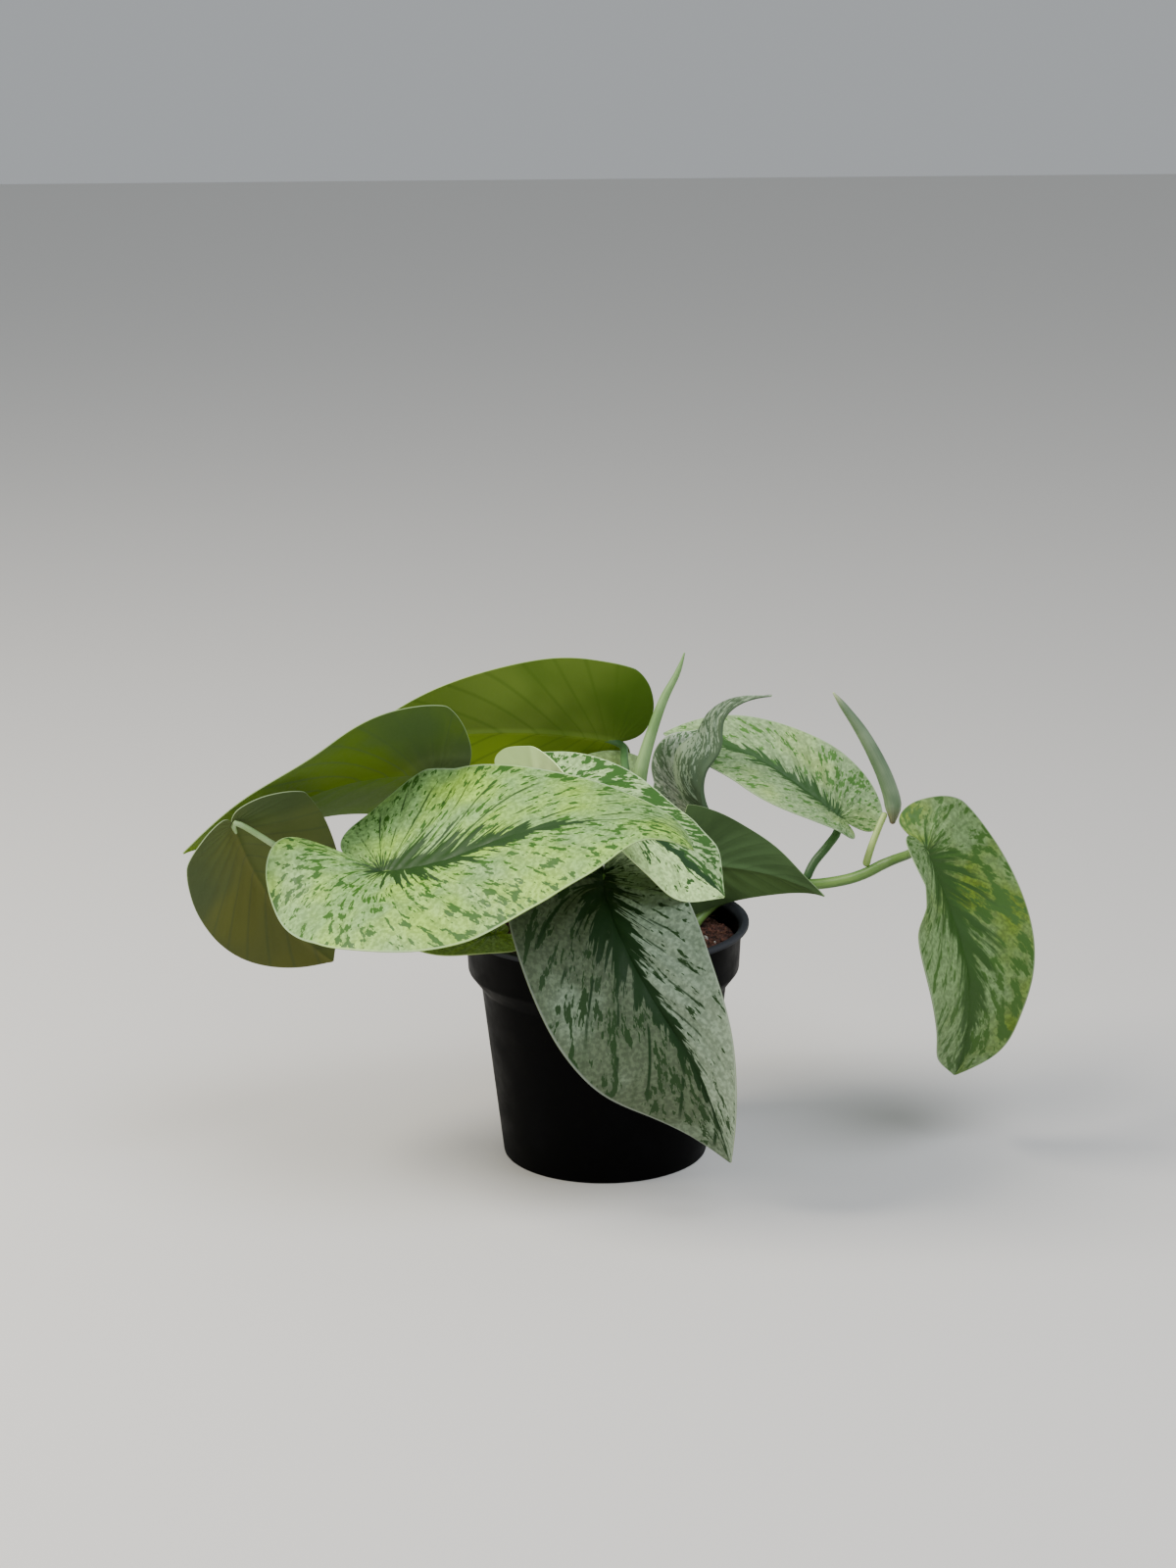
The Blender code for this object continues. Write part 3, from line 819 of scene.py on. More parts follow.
def pot_material():
    """Injection-moulded black polypropylene: a fine matt grain, with dust, and a paler top edge that is
    partly rubbed wear and partly painted highlight.
    """
    material, tree, shader = new_material("black polypropylene", Specular_IOR_Level=0.03)
    place = add(tree, "ShaderNodeTexCoord").outputs["Object"]
    height = add(tree, "ShaderNodeSeparateXYZ", None, {0: place}).outputs[2]
    dust = noise(tree, place, per_mark(DUST_PATCH), 5.0, 0.65)
    # The top few mm turn pale grey: partly rubbed wear, partly a painted highlight where light falls on the
    # rim.
    rubbed_and_lit_lip = ramped(tree, height, (POT_HEIGHT - 3) * MM, (POT_HEIGHT - 0.5) * MM)
    dust_wear_and_highlight = maths(tree, "MULTIPLY_ADD", rubbed_and_lit_lip, 0.75, ramped(tree, dust, 0.45, 0.75, 0.0, 0.03))
    colour = mixed(tree, dust_wear_and_highlight, linear("040404"), linear("44464b"))
    tree.links.new(colour, shader.inputs["Base Color"])
    tree.links.new(ramped(tree, dust, 0.3, 0.7, 0.38, 0.6), shader.inputs["Roughness"])
    bumped(tree, shader, noise(tree, place, per_mark(MOULD_GRAIN), 2.0), 0.2, 0.1)
    return material


def soil_material(name, colour, dark, grain_size):
    """Damp coconut fibre and peat: dark, crumbly and dull, with grains of this size in mm."""
    material, tree, shader = new_material("coir potting mix, " + name, Roughness=0.92)
    place = add(tree, "ShaderNodeTexCoord").outputs["Object"]
    grain = noise(tree, place, per_mark(grain_size), 4.0, 0.65)
    colours = mixed(tree, ramped(tree, grain, 0.38, 0.62), linear(dark), linear(colour))
    tree.links.new(colours, shader.inputs["Base Color"])
    bumped(tree, shader, grain, 0.6, 0.8)
    return material


def perlite_material():
    """Perlite: volcanic glass puffed into white, chalky grains."""
    material, tree, shader = new_material("perlite", Roughness=0.85)
    place = add(tree, "ShaderNodeTexCoord").outputs["Object"]
    grain = noise(tree, place, per_mark(0.8), 3.0)
    colours = mixed(tree, ramped(tree, grain, 0.35, 0.65), linear("c9c4b6"), linear("efece3"))
    tree.links.new(colours, shader.inputs["Base Color"])
    bumped(tree, shader, grain, 0.6, 0.4)
    return material


def smooth_path(points, shares):
    """Places on a smooth curve through the points, at these shares of its length, and that length.

    Between two points the curve is a cubic that matches the slopes there.
    """
    points = np.asarray(points, float)
    knots = np.concatenate([[0.0], np.cumsum(np.linalg.norm(np.diff(points, axis=0), axis=1))])
    slopes = np.gradient(points, knots, axis=0, edge_order=min(2, len(points) - 1))
    fine = np.linspace(0.0, knots[-1], CURVE_STEPS)
    first = np.clip(np.searchsorted(knots, fine, side="right") - 1, 0, len(knots) - 2)
    step = (knots[first + 1] - knots[first])[:, None]
    t = (fine - knots[first])[:, None] / step
    curve = (
        (2 * t**3 - 3 * t**2 + 1) * points[first]
        + (t**3 - 2 * t**2 + t) * step * slopes[first]
        + (3 * t**2 - 2 * t**3) * points[first + 1]
        + (t**3 - t**2) * step * slopes[first + 1]
    )
    along = np.concatenate([[0.0], np.cumsum(np.linalg.norm(np.diff(curve, axis=0), axis=1))])
    wanted = np.asarray(shares, float) * along[-1]
    places = [np.interp(wanted, along, curve[:, axis]) for axis in range(curve.shape[1])]
    return np.stack(places, axis=-1), along[-1]


def unit(vectors):
    """The vectors, each made one long."""
    return vectors / np.maximum(np.linalg.norm(vectors, axis=-1, keepdims=True), 1e-12)


def blend(share, base_value, tip_value):
    """The value at this share of the way from the first value to the second."""
    return base_value * (1 - share) + tip_value * share


def midrib_frame(leaf, share):
    """The midrib's points at these shares of its length, with its forward and upward directions there.

    The forward direction is taken over a stretch of the midrib, so that the blade turns evenly in a bend.
    """
    place, length = smooth_path(leaf.midrib, share)
    ahead, _ = smooth_path(leaf.midrib, np.clip(share + BEND_SPAN, 0, 1))
    behind, _ = smooth_path(leaf.midrib, np.clip(share - BEND_SPAN, 0, 1))
    forward = unit(ahead - behind)
    base_face, tip_face = unit(np.array(leaf.faces, float))
    face = blend(share[..., None], base_face, tip_face)
    upward = unit(face - (face * forward).sum(-1, keepdims=True) * forward)
    return place, forward, upward, length


def blade_plan(leaf, u, v):
    """The flat blade: u runs along the margin from the notch to the tip, v from left margin to right.

    It gives the shares of the length along the midrib and out from it. A line of constant u follows
    a side vein: a curve from the midrib that arches out to the margin.
    """
    left = v > 0
    edge, _ = smooth_path(MARGIN, u)
    edge_along = np.where(edge[..., 0] < 0, edge[..., 0] * np.where(left, *leaf.lobe), edge[..., 0])
    edge_across = edge[..., 1] * np.where(left, *leaf.width)
    root = u**VEIN_SWEEP
    bow = VEIN_BOW * (BOW_TURN - u) * edge_across
    out = np.abs(v)
    middle = (root + edge_along) / 2 + bow
    along = (1 - out) ** 2 * root + 2 * out * (1 - out) * middle + out**2 * edge_along
    swollen = 1 + leaf.swell * (np.clip(along, 0, 1) - SWELL_CENTRE)
    fuller = 1 + leaf.blunt * np.exp(-(((along - BLUNT_CENTRE) / BLUNT_SPAN) ** 2))
    return along, out * edge_across * swollen * fuller


def blade_sheet(leaf, u, v):
    """The blade's middle surface, in mm, with how far each point is along and across.

    The flat plan is carried on the midrib's frame. Each half leans up by its fold, and turns further by
    its curl on the way out, as an arc of a circle. The lobes rise behind the stalk.
    """
    along, across = blade_plan(leaf, u, v)
    share = np.clip(along, 0, 1)
    place, forward, upward, length = midrib_frame(leaf, share)
    leftward = np.cross(upward, forward)
    eased = 1 - (1 - share) ** leaf.ease
    left_fold, right_fold = (blend(eased, *ends) for ends in leaf.fold)
    fold = np.radians(np.where(v > 0, left_fold, right_fold))
    widest = WIDEST * np.where(v > 0, *leaf.width)
    turn = np.radians(np.where(v > 0, *leaf.curl)) * across / widest
    turn = np.where(np.abs(turn) < LEAST_TURN, LEAST_TURN, turn)
    outward = (np.sin(fold + turn) - np.sin(fold)) / turn * across * length
    rise = (np.cos(fold) - np.cos(fold + turn)) / turn * across * length
    behind = np.minimum(along, 0)
    far_back = behind**2 / (behind**2 + LOBE_REACH**2)
    cup = np.where(v > 0, *leaf.cup) * np.exp(-((across / CUP_SPAN) ** 2))
    rise += (leaf.lift * far_back - cup * behind) * length
    points = place + forward * (behind * length)[..., None]
    points += leftward * (np.sign(v) * outward)[..., None] + upward * rise[..., None]
    return points, along, across * length, upward


def sheet_normals(points, upward):
    """The unit normals of a grid of points, which face upward. The first and last rows are very short."""
    down_rows = np.gradient(points, axis=0)
    across_rows = np.gradient(points, axis=1)
    normals = unit(np.cross(across_rows, down_rows))
    normals[0] = upward[0, 0]
    normals[-1] = upward[-1, 0]
    return normals


def grid_faces(rows, columns, closed):
    """The quads between neighbouring points of a grid. A closed grid's last column joins its first."""
    last = columns if closed else columns - 1
    i, j = np.meshgrid(np.arange(rows - 1), np.arange(last), indexing="ij")
    k = (j + 1) % columns
    corners = [i * columns + j, i * columns + k, (i + 1) * columns + k, (i + 1) * columns + j]
    return np.stack(corners, axis=-1).reshape(-1, 4)


def merged(mesh):
    """Joins points that coincide, as at a pole, and drops the faces that this closes."""
    shape = bmesh.new()
    shape.from_mesh(mesh)
    bmesh.ops.remove_doubles(shape, verts=shape.verts, dist=JOIN_DISTANCE)
    shape.to_mesh(mesh)
    shape.free()


def placed(name, data):
    """A new object in the scene that shows this mesh, camera or light."""
    made = bpy.data.objects.new(name, data)
    bpy.context.scene.collection.objects.link(made)
    return made


def on_root(mesh):
    """An object with this mesh and its name, which rides on the root body."""
    made = placed(mesh.name, mesh)
    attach(made, "root")
    return made


def new_piece(name, points, faces, material, uv=None, underside=None, sharp=40.0):
    """A piece from points in mm, smooth but for edges sharper than an angle in degrees."""
    mesh = bpy.data.meshes.new(name)
    mesh.from_pydata(points.reshape(-1, 3) * MM, [], faces.tolist())
    if uv is not None:
        layer = mesh.uv_layers.new(name="veins")
        layer.data.foreach_set("uv", uv.reshape(-1, 2)[faces.ravel()].ravel())
    if underside is not None:
        values = mesh.attributes.new("underside", "FLOAT", "FACE")
        values.data.foreach_set("value", underside.astype(np.float32))
    merged(mesh)
    mesh.materials.append(material)
    mesh.shade_smooth()
    mesh.set_sharp_from_angle(angle=math.radians(sharp))
    return on_root(mesh)


def blade_grid():
    """The grid of a blade: u from notch to tip, row by row, and v from left margin to right."""
    spread = np.linspace(1, -1, 2 * HALF_COLUMNS + 1)
    columns = np.sign(spread) * np.abs(spread) ** COLUMN_POWER
    return np.meshgrid(np.linspace(*BLADE_SPAN, BLADE_ROWS), columns, indexing="ij")


def blade_skins(leaf, u, v):
    """The upper and the lower skin of a blade, in mm.

    Each point of the sheet is moved along the sheet's normal: both skins by the quilting between side
    veins and a ripple at the margin, the upper one up by half the thickness less the groove over the
    midrib, and the lower one down by half the thickness and the rib under it.
    """
    points, along, across, upward = blade_sheet(leaf, u, v)
    normals = sheet_normals(points, upward)
    out = np.abs(v)
    ends = np.sin(np.pi * u) ** 0.5
    quilt = leaf.quilting * np.cos(np.pi * SIDE_VEINS * u) ** 2 * np.sin(np.pi * out**QUILT_POWER) * ends
    phase = RIPPLE_TURN * u + 6 * leaf.look.seed + np.sign(v)
    ripple = RIPPLE_HEIGHT * np.sin(phase) * out**3 * ends
    middle = points + normals * (quilt + ripple)[..., None]
    half = blend(out**2, MIDDLE_THICKNESS, MARGIN_THICKNESS) / 2
    depth = np.clip((along + RIB_START) / (2 * RIB_START), 0, 1) * (1 - RIB_TAPER * np.clip(along, 0, 1))
    groove = GROOVE_DEPTH * depth * np.exp(-((across / GROOVE_WIDTH) ** 2))
    rib = RIB_DEPTH * depth * np.exp(-((across / RIB_WIDTH) ** 2))
    top = middle + normals * (half - groove)[..., None]
    bottom = middle - normals * (half + rib)[..., None]
    return top, bottom


def blade_faces(columns):
    """The quads of a blade, and each one's value on it: 0 above, 1 below and 0.5 on a rim.

    The two skins lie side by side in a closed ring of columns. Further quads between them close the
    first row and the last.
    """
    faces = grid_faces(BLADE_ROWS, 2 * columns, closed=True)
    near = np.arange(columns - 1)
    far = 2 * columns - 1 - near
    first_row = np.stack([near + 1, near, far, far - 1], axis=-1)
    last_row = first_row[:, ::-1] + (BLADE_ROWS - 1) * 2 * columns
    strip = np.concatenate([np.zeros(columns - 1), [0.5], np.ones(columns - 1), [0.5]])
    underside = np.concatenate([np.tile(strip, BLADE_ROWS - 1), np.full(2 * len(near), 0.5)])
    return np.concatenate([faces, first_row, last_row]), underside


def blade(name, leaf):
    """A blade of two skins, joined by a narrow rim all round."""
    u, v = blade_grid()
    top, bottom = blade_skins(leaf, u, v)
    skin = np.concatenate([top, bottom[:, ::-1]], axis=1)
    uv = np.stack([np.concatenate([part, part[:, ::-1]], axis=1) for part in (u, v)], axis=-1)
    faces, underside = blade_faces(u.shape[1])
    material = blade_material(name.replace("_", " "), leaf.look)
    made = new_piece("blade_" + name, skin, faces, material, uv, underside)
    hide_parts("leaf_" + name)


def stalk_route(leaf):
    """The stalk's route and radii, in mm: up from the soil or the vine, then under the midrib as its rib."""
    route = list(leaf.stalk)
    if len(route[0]) == 2:
        x, y = route[0]
        route[0:1] = [(x, y, SOIL_TOP - SOCKET_DEPTH), (x, y, SOIL_TOP + STALK_RISE)]
    foot, head = leaf.stalk_radius
    base, _, upward, _ = midrib_frame(leaf, np.array([0.0, RIB_REACH]))
    under = base - upward * np.array([[head * STALK_TUCK], [RIB_TUCK]])
    route += [tuple(place) for place in under]
    radii = np.linspace(foot, head, len(route) - 1).tolist() + [STALK_TIP]
    return route, radii


def smooth_line(points, radii):
    """Places every few mm on a smooth curve through the points, and the radius at each of them, in mm."""
    points = np.asarray(points, float)
    both = np.column_stack([points, np.asarray(radii, float)])
    _, length = smooth_path(points, [0.0])
    shares = np.linspace(0, 1, max(LEAST_RINGS, round(length / TUBE_STEP) + 1))
    knots = np.concatenate([[0.0], np.cumsum(np.linalg.norm(np.diff(both[:, :3], axis=0), axis=1))])
    places, _ = smooth_path(points, shares)
    return places, np.interp(shares * knots[-1], knots, both[:, 3])


def path_frame(places):
    """Tangents along a path, and two directions across it that turn as little as one fixed axis allows."""
    tangents = unit(np.gradient(places, axis=0))
    axis = np.eye(3)[np.abs(tangents).max(axis=0).argmin()]
    side = unit(np.cross(tangents, axis))
    return tangents, side, np.cross(tangents, side)


def with_round_ends(places, tangents, radii):
    """A path with more places at each end, where the radius follows a quarter circle down to nothing."""
    angle = np.linspace(0, np.pi / 2, CAP_STEPS + 1)
    before = places[:1] - tangents[:1] * radii[0] * np.cos(angle[:-1])[:, None]
    after = places[-1:] + tangents[-1:] * radii[-1] * np.sin(angle[1:])[:, None]
    widths = np.concatenate([radii[0] * np.sin(angle[:-1]), radii, radii[-1] * np.cos(angle[1:])])
    return np.vstack([before, places, after]), widths


def swept(name, places, radii, material, section=np.ones_like):
    """A tube with round ends.

    At each place there is a ring of points, out from the path by the radius times the section's value
    at that angle.
    """
    tangents, side, other = path_frame(places)
    places, radii = with_round_ends(places, tangents, radii)
    side, other = (np.pad(part, ((CAP_STEPS, CAP_STEPS), (0, 0)), mode="edge") for part in (side, other))
    angle = np.linspace(0, 2 * np.pi, TUBE_SIDES, endpoint=False)
    ring = side[:, None] * np.cos(angle)[:, None] + other[:, None] * np.sin(angle)[:, None]
    points = places[:, None] + ring * (radii[:, None] * section(angle))[..., None]
    rows = len(places)
    share = np.repeat(np.linspace(0, 1, rows)[:, None], TUBE_SIDES, axis=1)
    turn = np.repeat(np.abs(np.linspace(-1, 1, TUBE_SIDES))[None], rows, axis=0)
    faces = grid_faces(rows, TUBE_SIDES, closed=True)
    return new_piece(name, points, faces, material, np.stack([share, turn], axis=-1), sharp=60.0)


def channelled(angle):
    """A round section with a shallow channel along one side."""
    return 1 - CHANNEL_DEPTH * np.exp(-(((angle - np.pi) / CHANNEL_WIDTH) ** 2))


def overlapped(angle):
    """The section of a rolled leaf: it winds in by a step, where its outer edge lies on the turn below."""
    return ROLL_START + ROLL_STEP * angle / (2 * np.pi)


def rounded(profile, radius):
    """The profile with each inner corner replaced by a curve from just before it to just after it."""
    profile = np.asarray(profile, float)
    corner = profile[1:-1]
    back = profile[:-2] - corner
    on = profile[2:] - corner
    back_length = np.linalg.norm(back, axis=1, keepdims=True)
    on_length = np.linalg.norm(on, axis=1, keepdims=True)
    start = corner + back * np.minimum(radius / back_length, ROUND_SHARE)
    end = corner + on * np.minimum(radius / on_length, ROUND_SHARE)
    t = np.linspace(0, 1, ROUND_STEPS + 1)[None, :, None]
    curve = (1 - t) ** 2 * start[:, None] + 2 * t * (1 - t) * corner[:, None] + t**2 * end[:, None]
    return np.vstack([profile[:1], curve.reshape(-1, 2), profile[-1:]])


def turned(profile, steps):
    """Points and quads of a shape turned about the Z axis from (radius, height) pairs down its outside."""
    angle = np.linspace(0, 2 * np.pi, steps, endpoint=False)
    profile = np.asarray(profile, float)
    x = profile[:, :1] * np.cos(angle)
    y = profile[:, :1] * np.sin(angle)
    z = np.repeat(profile[:, 1:], steps, axis=1)
    return np.stack([x, y, z], axis=-1), grid_faces(len(profile), steps, closed=True)[:, ::-1]


def pot_profile():
    """The pot's section as (radius, height) pairs: up its inside from the floor, and down its outside."""
    shoulder = POT_HEIGHT - COLLAR_HEIGHT - CHAMFER_HEIGHT
    collar_foot = POT_HEIGHT - COLLAR_HEIGHT
    flange_under = POT_HEIGHT - FLANGE_THICKNESS
    return (
        (0, FLOOR),
        (BASE_RADIUS - WALL, FLOOR),
        (SHOULDER_RADIUS - WALL, shoulder),
        (COLLAR_FOOT_RADIUS - WALL, collar_foot + WALL / 2),
        (COLLAR_TOP_RADIUS - WALL, flange_under),
        (FLANGE_RADIUS - LIP_WIDTH, POT_HEIGHT),
        (FLANGE_RADIUS, POT_HEIGHT),
        (FLANGE_RADIUS, flange_under),
        (COLLAR_TOP_RADIUS, flange_under - FLANGE_STEP),
        (COLLAR_FOOT_RADIUS, collar_foot),
        (SHOULDER_RADIUS, shoulder),
        (BASE_RADIUS, 0),
        (0, 0),
    )


def pot():
    """The pot: its profile with small rounded edges, turned, with a ring of drain holes cut in its floor."""
    points, faces = turned(rounded(pot_profile(), EDGE_ROUND), POT_STEPS)
    made = new_piece("pot_shell", points, faces, pot_material(), sharp=50.0)
    turn = np.linspace(0, 2 * np.pi, DRAIN_HOLES, endpoint=False)
    drilled(made, DRAIN_CIRCLE * np.column_stack([np.cos(turn), np.sin(turn)]), DRAIN_RADIUS)
    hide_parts("nursery_pot")


def drilled(piece, centres, radius):
    """Cuts an upright round hole through the piece's floor at each centre, by a Boolean applied at once."""
    drill = bmesh.new()
    for x, y in centres * MM:
        place = Matrix.Translation((x, y, FLOOR / 2 * MM)) @ Matrix.Rotation(DRILL_TURN, 4, "Z")
        size = {"radius1": radius * MM, "radius2": radius * MM, "depth": 3 * FLOOR * MM}
        bmesh.ops.create_cone(drill, cap_ends=True, segments=DRILL_STEPS, matrix=place, **size)
    mesh = bpy.data.meshes.new("drill")
    drill.to_mesh(mesh)
    drill.free()
    cutter = placed("drill", mesh)
    cut = piece.modifiers.new("drain holes", "BOOLEAN")
    cut.operation = "DIFFERENCE"
    cut.solver = "EXACT"
    cut.object = cutter
    holed = bpy.data.meshes.new_from_object(piece.evaluated_get(bpy.context.evaluated_depsgraph_get()))
    piece.modifiers.clear()
    piece.data = holed
    bpy.data.objects.remove(cutter)
    bpy.data.meshes.remove(mesh)


def soil_waves(random):
    """For each of the soil's waves: its turn per mm along X and along Y, its phase, and its height in mm."""
    spacing = random.uniform(*WAVE_SPACING, WAVES)
    heading = random.uniform(0, 2 * np.pi, WAVES)
    turn = 2 * np.pi / spacing
    phase = random.uniform(0, 2 * np.pi, WAVES)
    return np.column_stack([turn * np.cos(heading), turn * np.sin(heading), phase, WAVE_HEIGHT * spacing])


def surface_height(x, y, waves):
    """The soil's height in mm: a low mound with lumps that are sums of sine waves in many directions."""
    mound = SOIL_TOP + SOIL_MOUND * (1 - (np.hypot(x, y) / (COLLAR_FOOT_RADIUS - WALL)) ** 2)
    phases = x[..., None] * waves[:, 0] + y[..., None] * waves[:, 1] + waves[:, 2]
    return mound + (np.sin(phases) * waves[:, 3]).sum(-1)


def soil():
    """The potting mix: a lumpy top, plain sides and bottom, with crumbs, fibres and perlite lying on it."""
    random = np.random.default_rng(SOIL_SEED)
    waves = soil_waves(random)
    edge = COLLAR_FOOT_RADIUS - WALL - GAP
    rings = np.linspace(edge, 0, SOIL_RINGS)
    angle = np.linspace(0, 2 * np.pi, POT_STEPS, endpoint=False)
    x = rings[:, None] * np.cos(angle)
    y = rings[:, None] * np.sin(angle)
    top = np.stack([x, y, surface_height(x, y, waves)], axis=-1)
    shoulder = POT_HEIGHT - COLLAR_HEIGHT - CHAMFER_HEIGHT
    inset = WALL + GAP
    sides = (
        (0, FLOOR + GAP),
        (BASE_RADIUS - inset, FLOOR + GAP),
        (SHOULDER_RADIUS - inset, shoulder),
        (COLLAR_FOOT_RADIUS - inset, POT_HEIGHT - COLLAR_HEIGHT + WALL),
    )
    below, _ = turned(sides, POT_STEPS)
    points = np.concatenate([below, top])
    faces = grid_faces(len(points), POT_STEPS, closed=True)
    material = soil_material("surface", "603c30", "261610", 1.4)
    made = new_piece("potting_mix", points, faces, material, sharp=180.0)
    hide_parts("potting_soil")
    crumbs(random, waves, edge)
    fibres(random, waves, edge)


def scattered(random, count, reach, waves):
    """Places spread evenly over the soil's top, in mm."""
    radius = reach * np.sqrt(random.uniform(0, 1, count))
    angle = random.uniform(0, 2 * np.pi, count)
    x, y = radius * np.cos(angle), radius * np.sin(angle)
    return np.column_stack([x, y, surface_height(x, y, waves)])


def turned_any_way(random, count):
    """Random turns, as matrices made orthogonal from random columns."""
    turns, _ = np.linalg.qr(random.normal(size=(count, 3, 3)))
    turns[..., 0] *= np.sign(np.linalg.det(turns))[:, None]
    return turns


def lumps(random, name, places, sizes, material):
    """One piece of many lumps: a twenty-sided ball for each place, stretched, roughened and turned."""
    shape = bmesh.new()
    bmesh.ops.create_icosphere(shape, subdivisions=1, radius=1.0)
    ball = np.array([vert.co for vert in shape.verts])
    sides = np.array([[vert.index for vert in face.verts] for face in shape.faces])
    shape.free()
    count = len(places)
    stretch = random.uniform(*LUMP_STRETCH, (count, 1, 3)) * sizes[:, None, None]
    rough = random.uniform(*LUMP_ROUGHNESS, (count, len(ball), 1))
    turns = turned_any_way(random, count)
    points = np.einsum("nij,nkj->nki", turns, ball * rough * stretch) + places[:, None]
    faces = sides[None] + (np.arange(count) * len(ball))[:, None, None]
    new_piece(name, points, faces.reshape(-1, 3), material, sharp=30.0)


def crumbs(random, waves, edge):
    """Crumbs of coir and a few grains of perlite."""
    places = scattered(random, CRUMBS, edge - CRUMB_INSET, waves)
    sizes = random.uniform(*CRUMB_RADIUS, CRUMBS)
    lumps(random, "coir_crumbs", places, sizes, soil_material("crumbs", "744a3a", "2a1812", 2.5))
    places = scattered(random, PERLITE_GRAINS, edge - PERLITE_INSET, waves)
    places[:, 2] += LYING_HEIGHT
    sizes = random.uniform(*PERLITE_RADIUS, PERLITE_GRAINS)
    lumps(random, "perlite_grains", places, sizes, perlite_material())


def fibre_points(random, waves, edge):
    """The points of all the fibres, in mm: rings of three round curves that bow out from a straight line."""
    start = scattered(random, FIBRES, edge - FIBRE_INSET, waves)
    heading = random.uniform(0, 2 * np.pi, FIBRES)
    reach = random.uniform(*FIBRE_LENGTH, FIBRES)
    step = np.column_stack([np.cos(heading), np.sin(heading), random.uniform(*FIBRE_SLOPE, FIBRES)])
    bend = random.normal(0, FIBRE_BEND, (FIBRES, 3)) * FIBRE_FLATNESS
    t = np.linspace(0, 1, FIBRE_POINTS)[None, :, None]
    path = start[:, None] + step[:, None] * reach[:, None, None] * t + bend[:, None] * 4 * t * (1 - t)
    path[..., 2] += LYING_HEIGHT
    tangent = unit(np.gradient(path, axis=1))
    side = unit(np.cross(tangent, (0.0, 0.0, 1.0)))
    other = np.cross(tangent, side)
    angle = np.array([0, 2 * np.pi / 3, 4 * np.pi / 3])[:, None]
    thick = FIBRE_RADIUS * np.sin(np.pi * np.clip(t, FIBRE_TAPER, 1 - FIBRE_TAPER)) ** 0.5
    ring = side[:, :, None] * np.cos(angle) + other[:, :, None] * np.sin(angle)
    return path[:, :, None] + ring * thick[..., None]


def fibres(random, waves, edge):
    """Short coir fibres, each a bent strand with a three-sided section, as one piece."""
    points = fibre_points(random, waves, edge)
    first = (np.arange(FIBRES) * FIBRE_POINTS * 3)[:, None, None]
    sides = (grid_faces(FIBRE_POINTS, 3, closed=True)[None] + first).reshape(-1, 4)
    tip = (FIBRE_POINTS - 1) * 3
    ends = (np.array([[2, 1, 0], [tip, tip + 1, tip + 2]])[None] + first).reshape(-1, 3)
    mesh = bpy.data.meshes.new("coir_fibres")
    mesh.from_pydata(points.reshape(-1, 3) * MM, [], sides.tolist() + ends.tolist())
    mesh.materials.append(soil_material("fibres", "7a5238", "3a2418", 3.3))
    mesh.shade_smooth()
    on_root(mesh)


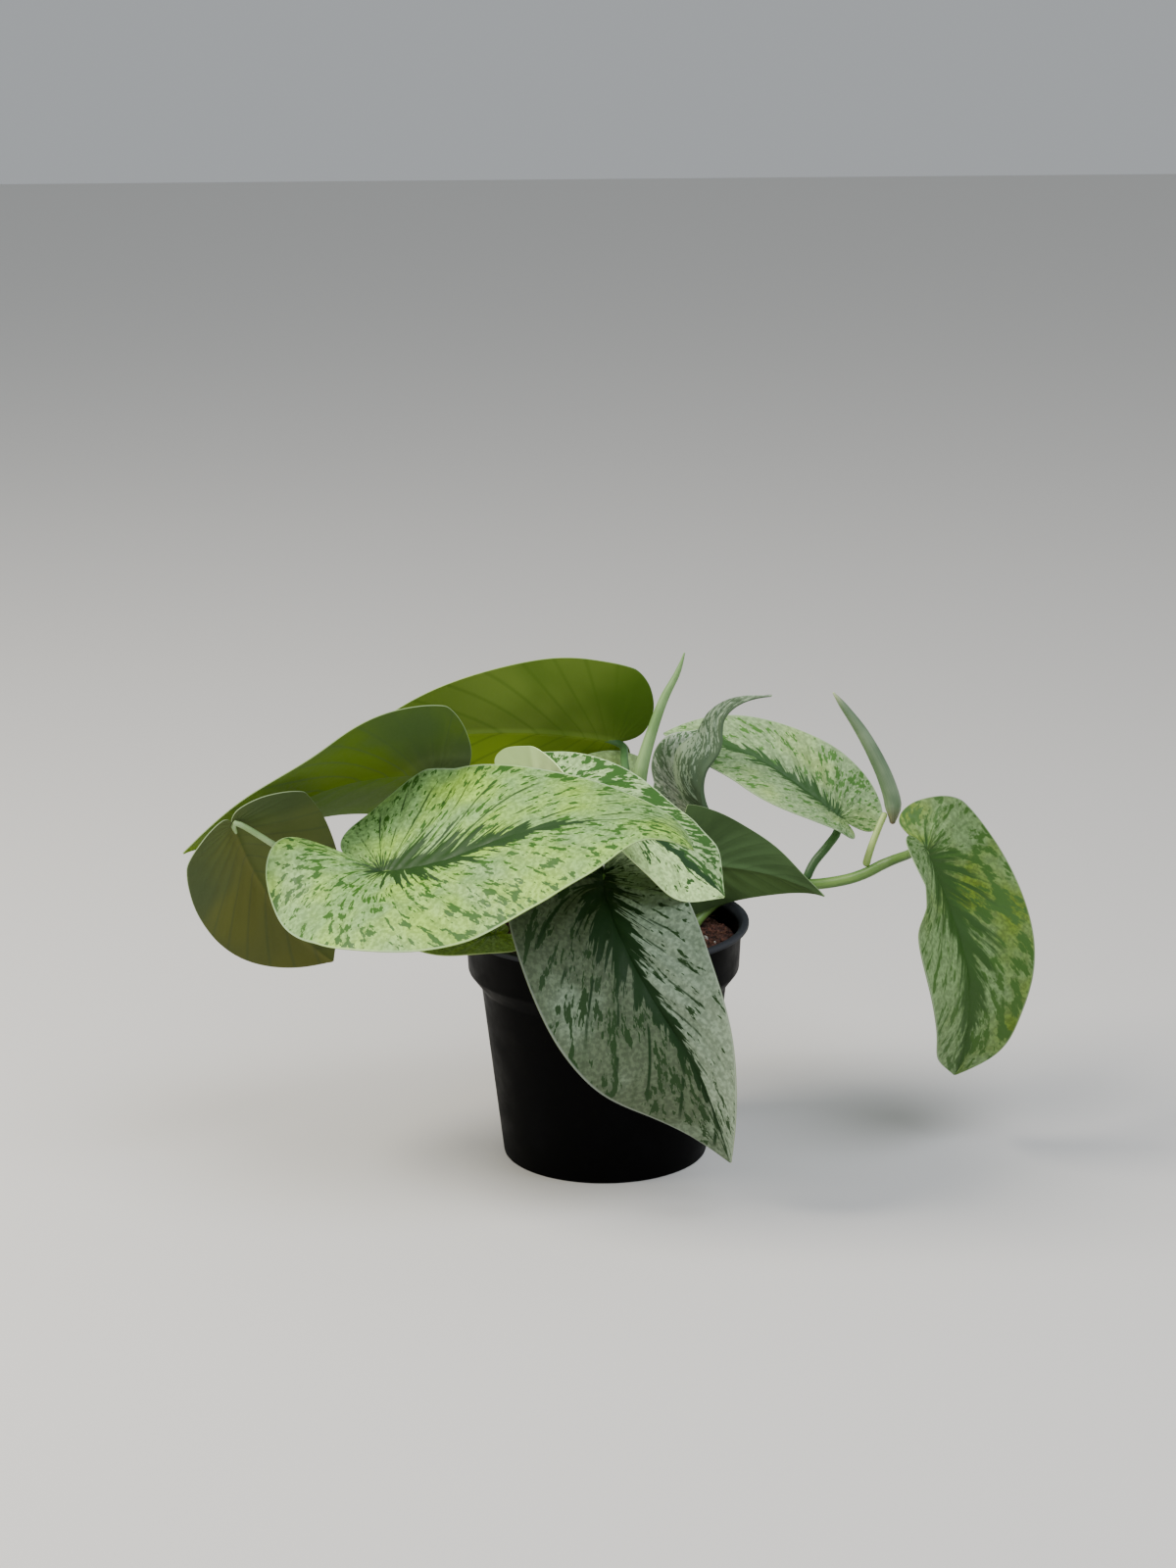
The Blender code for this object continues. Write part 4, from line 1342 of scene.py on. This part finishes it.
def stems():
    """Every stalk, the vine and the rolled leaves."""
    stalk_green = stem_material("stalk", "77994f", "55793a", 1.0)
    dark_green = stem_material("dark stalk", "57804a", "3f6438", 2.0)
    pale_green = stem_material("pale stalk", "a9c48c", "88a868", 2.5)
    other_greens = {"right_back": dark_green, "back_upper": dark_green, "left_lower": pale_green}
    for name, leaf in LEAVES.items():
        route, radii = stalk_route(leaf)
        places, widths = smooth_line(route, radii)
        material = other_greens.get(name, stalk_green)
        made = swept("stalk_of_" + name, places, widths, material, channelled)
        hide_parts("stalk_" + name)
    places, widths = smooth_line(VINE, np.linspace(*VINE_RADIUS, len(VINE)))
    made = swept("vine", places, widths, stem_material("vine", "7a9e50", "55803c", 3.0))
    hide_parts("vine_stem")
    rolled = {
        "leaf_spike": (SPIKE, overlapped, ("90b276", "73985a"), "green_stem"),
        "leaf_new_rolled": (NEW_LEAF, overlapped, ("7d9270", "5c7454", "7c5a3a", "b9c894"), "leaf_blade"),
        "stalk_new_rolled": (NEW_LEAF_STALK, channelled, ("a9c070", "8aa858"), "green_stem"),
    }
    for name, (points, section, colours, slot) in rolled.items():
        line = np.array(points, float)
        places, widths = smooth_line(line[:, :3], line[:, 3])
        material = stem_material(name.replace("_", " "), *colours[:2], 4.0, *colours[2:])
        made = swept("rolled_" + name, places, widths, material, section)
        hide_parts(name)


def camera():
    """A camera at the photograph's viewing angle: its place, tilted down, with a slight roll."""
    data = bpy.data.cameras.new("camera")
    data.lens = CAMERA_LENS
    data.sensor_width = CAMERA_SENSOR
    made = placed("camera", data)
    tilt = Matrix.Rotation(math.radians(90 - CAMERA_PITCH), 4, "X")
    roll = Matrix.Rotation(math.radians(CAMERA_ROLL), 4, "Z")
    made.matrix_world = Matrix.Translation(Vector(CAMERA_PLACE) * MM) @ tilt @ roll
    bpy.context.scene.camera = made


def area_light(name, place, size, power, colour):
    """A large soft light at a place, turned to the plant. The place and size are in metres."""
    data = bpy.data.lights.new(name, "AREA")
    data.shape = "DISK"
    data.size = size
    data.energy = power
    data.color = linear(colour)[:3]
    made = placed(name, data)
    made.location = place
    made.rotation_euler = (Vector(LIT_PLACE) - Vector(place)).to_track_quat("-Z", "Y").to_euler()


def studio():
    """A plain pale floor, soft light from the left and from the front right, and a pale surrounding."""
    mesh = bpy.data.meshes.new("floor")
    reach = FLOOR_REACH
    corners = [(-reach, -reach, 0), (reach, -reach, 0), (reach, reach, 0), (-reach, reach, 0)]
    mesh.from_pydata(corners, [], [(0, 1, 2, 3)])
    floor = placed("floor", mesh)
    material, _, _ = new_material("pale floor", Base_Color=linear("dcdad6"), Roughness=0.7)
    mesh.materials.append(material)
    world = bpy.data.worlds.new("studio")
    world.use_nodes = True
    surrounding = world.node_tree.nodes["Background"]
    surrounding.inputs["Color"].default_value = linear("e6ebef")
    surrounding.inputs["Strength"].default_value = 0.5
    bpy.context.scene.world = world
    area_light("key", place=(-1.0, -0.2, 1.0), size=0.7, power=24.0, colour="fff8ec")
    area_light("fill", place=(0.5, -0.6, 1.2), size=1.0, power=13.0, colour="f2f6ff")


camera()
studio()
pot()
soil()
stems()
for leaf_name, leaf_shape in LEAVES.items():
    blade(leaf_name, leaf_shape)
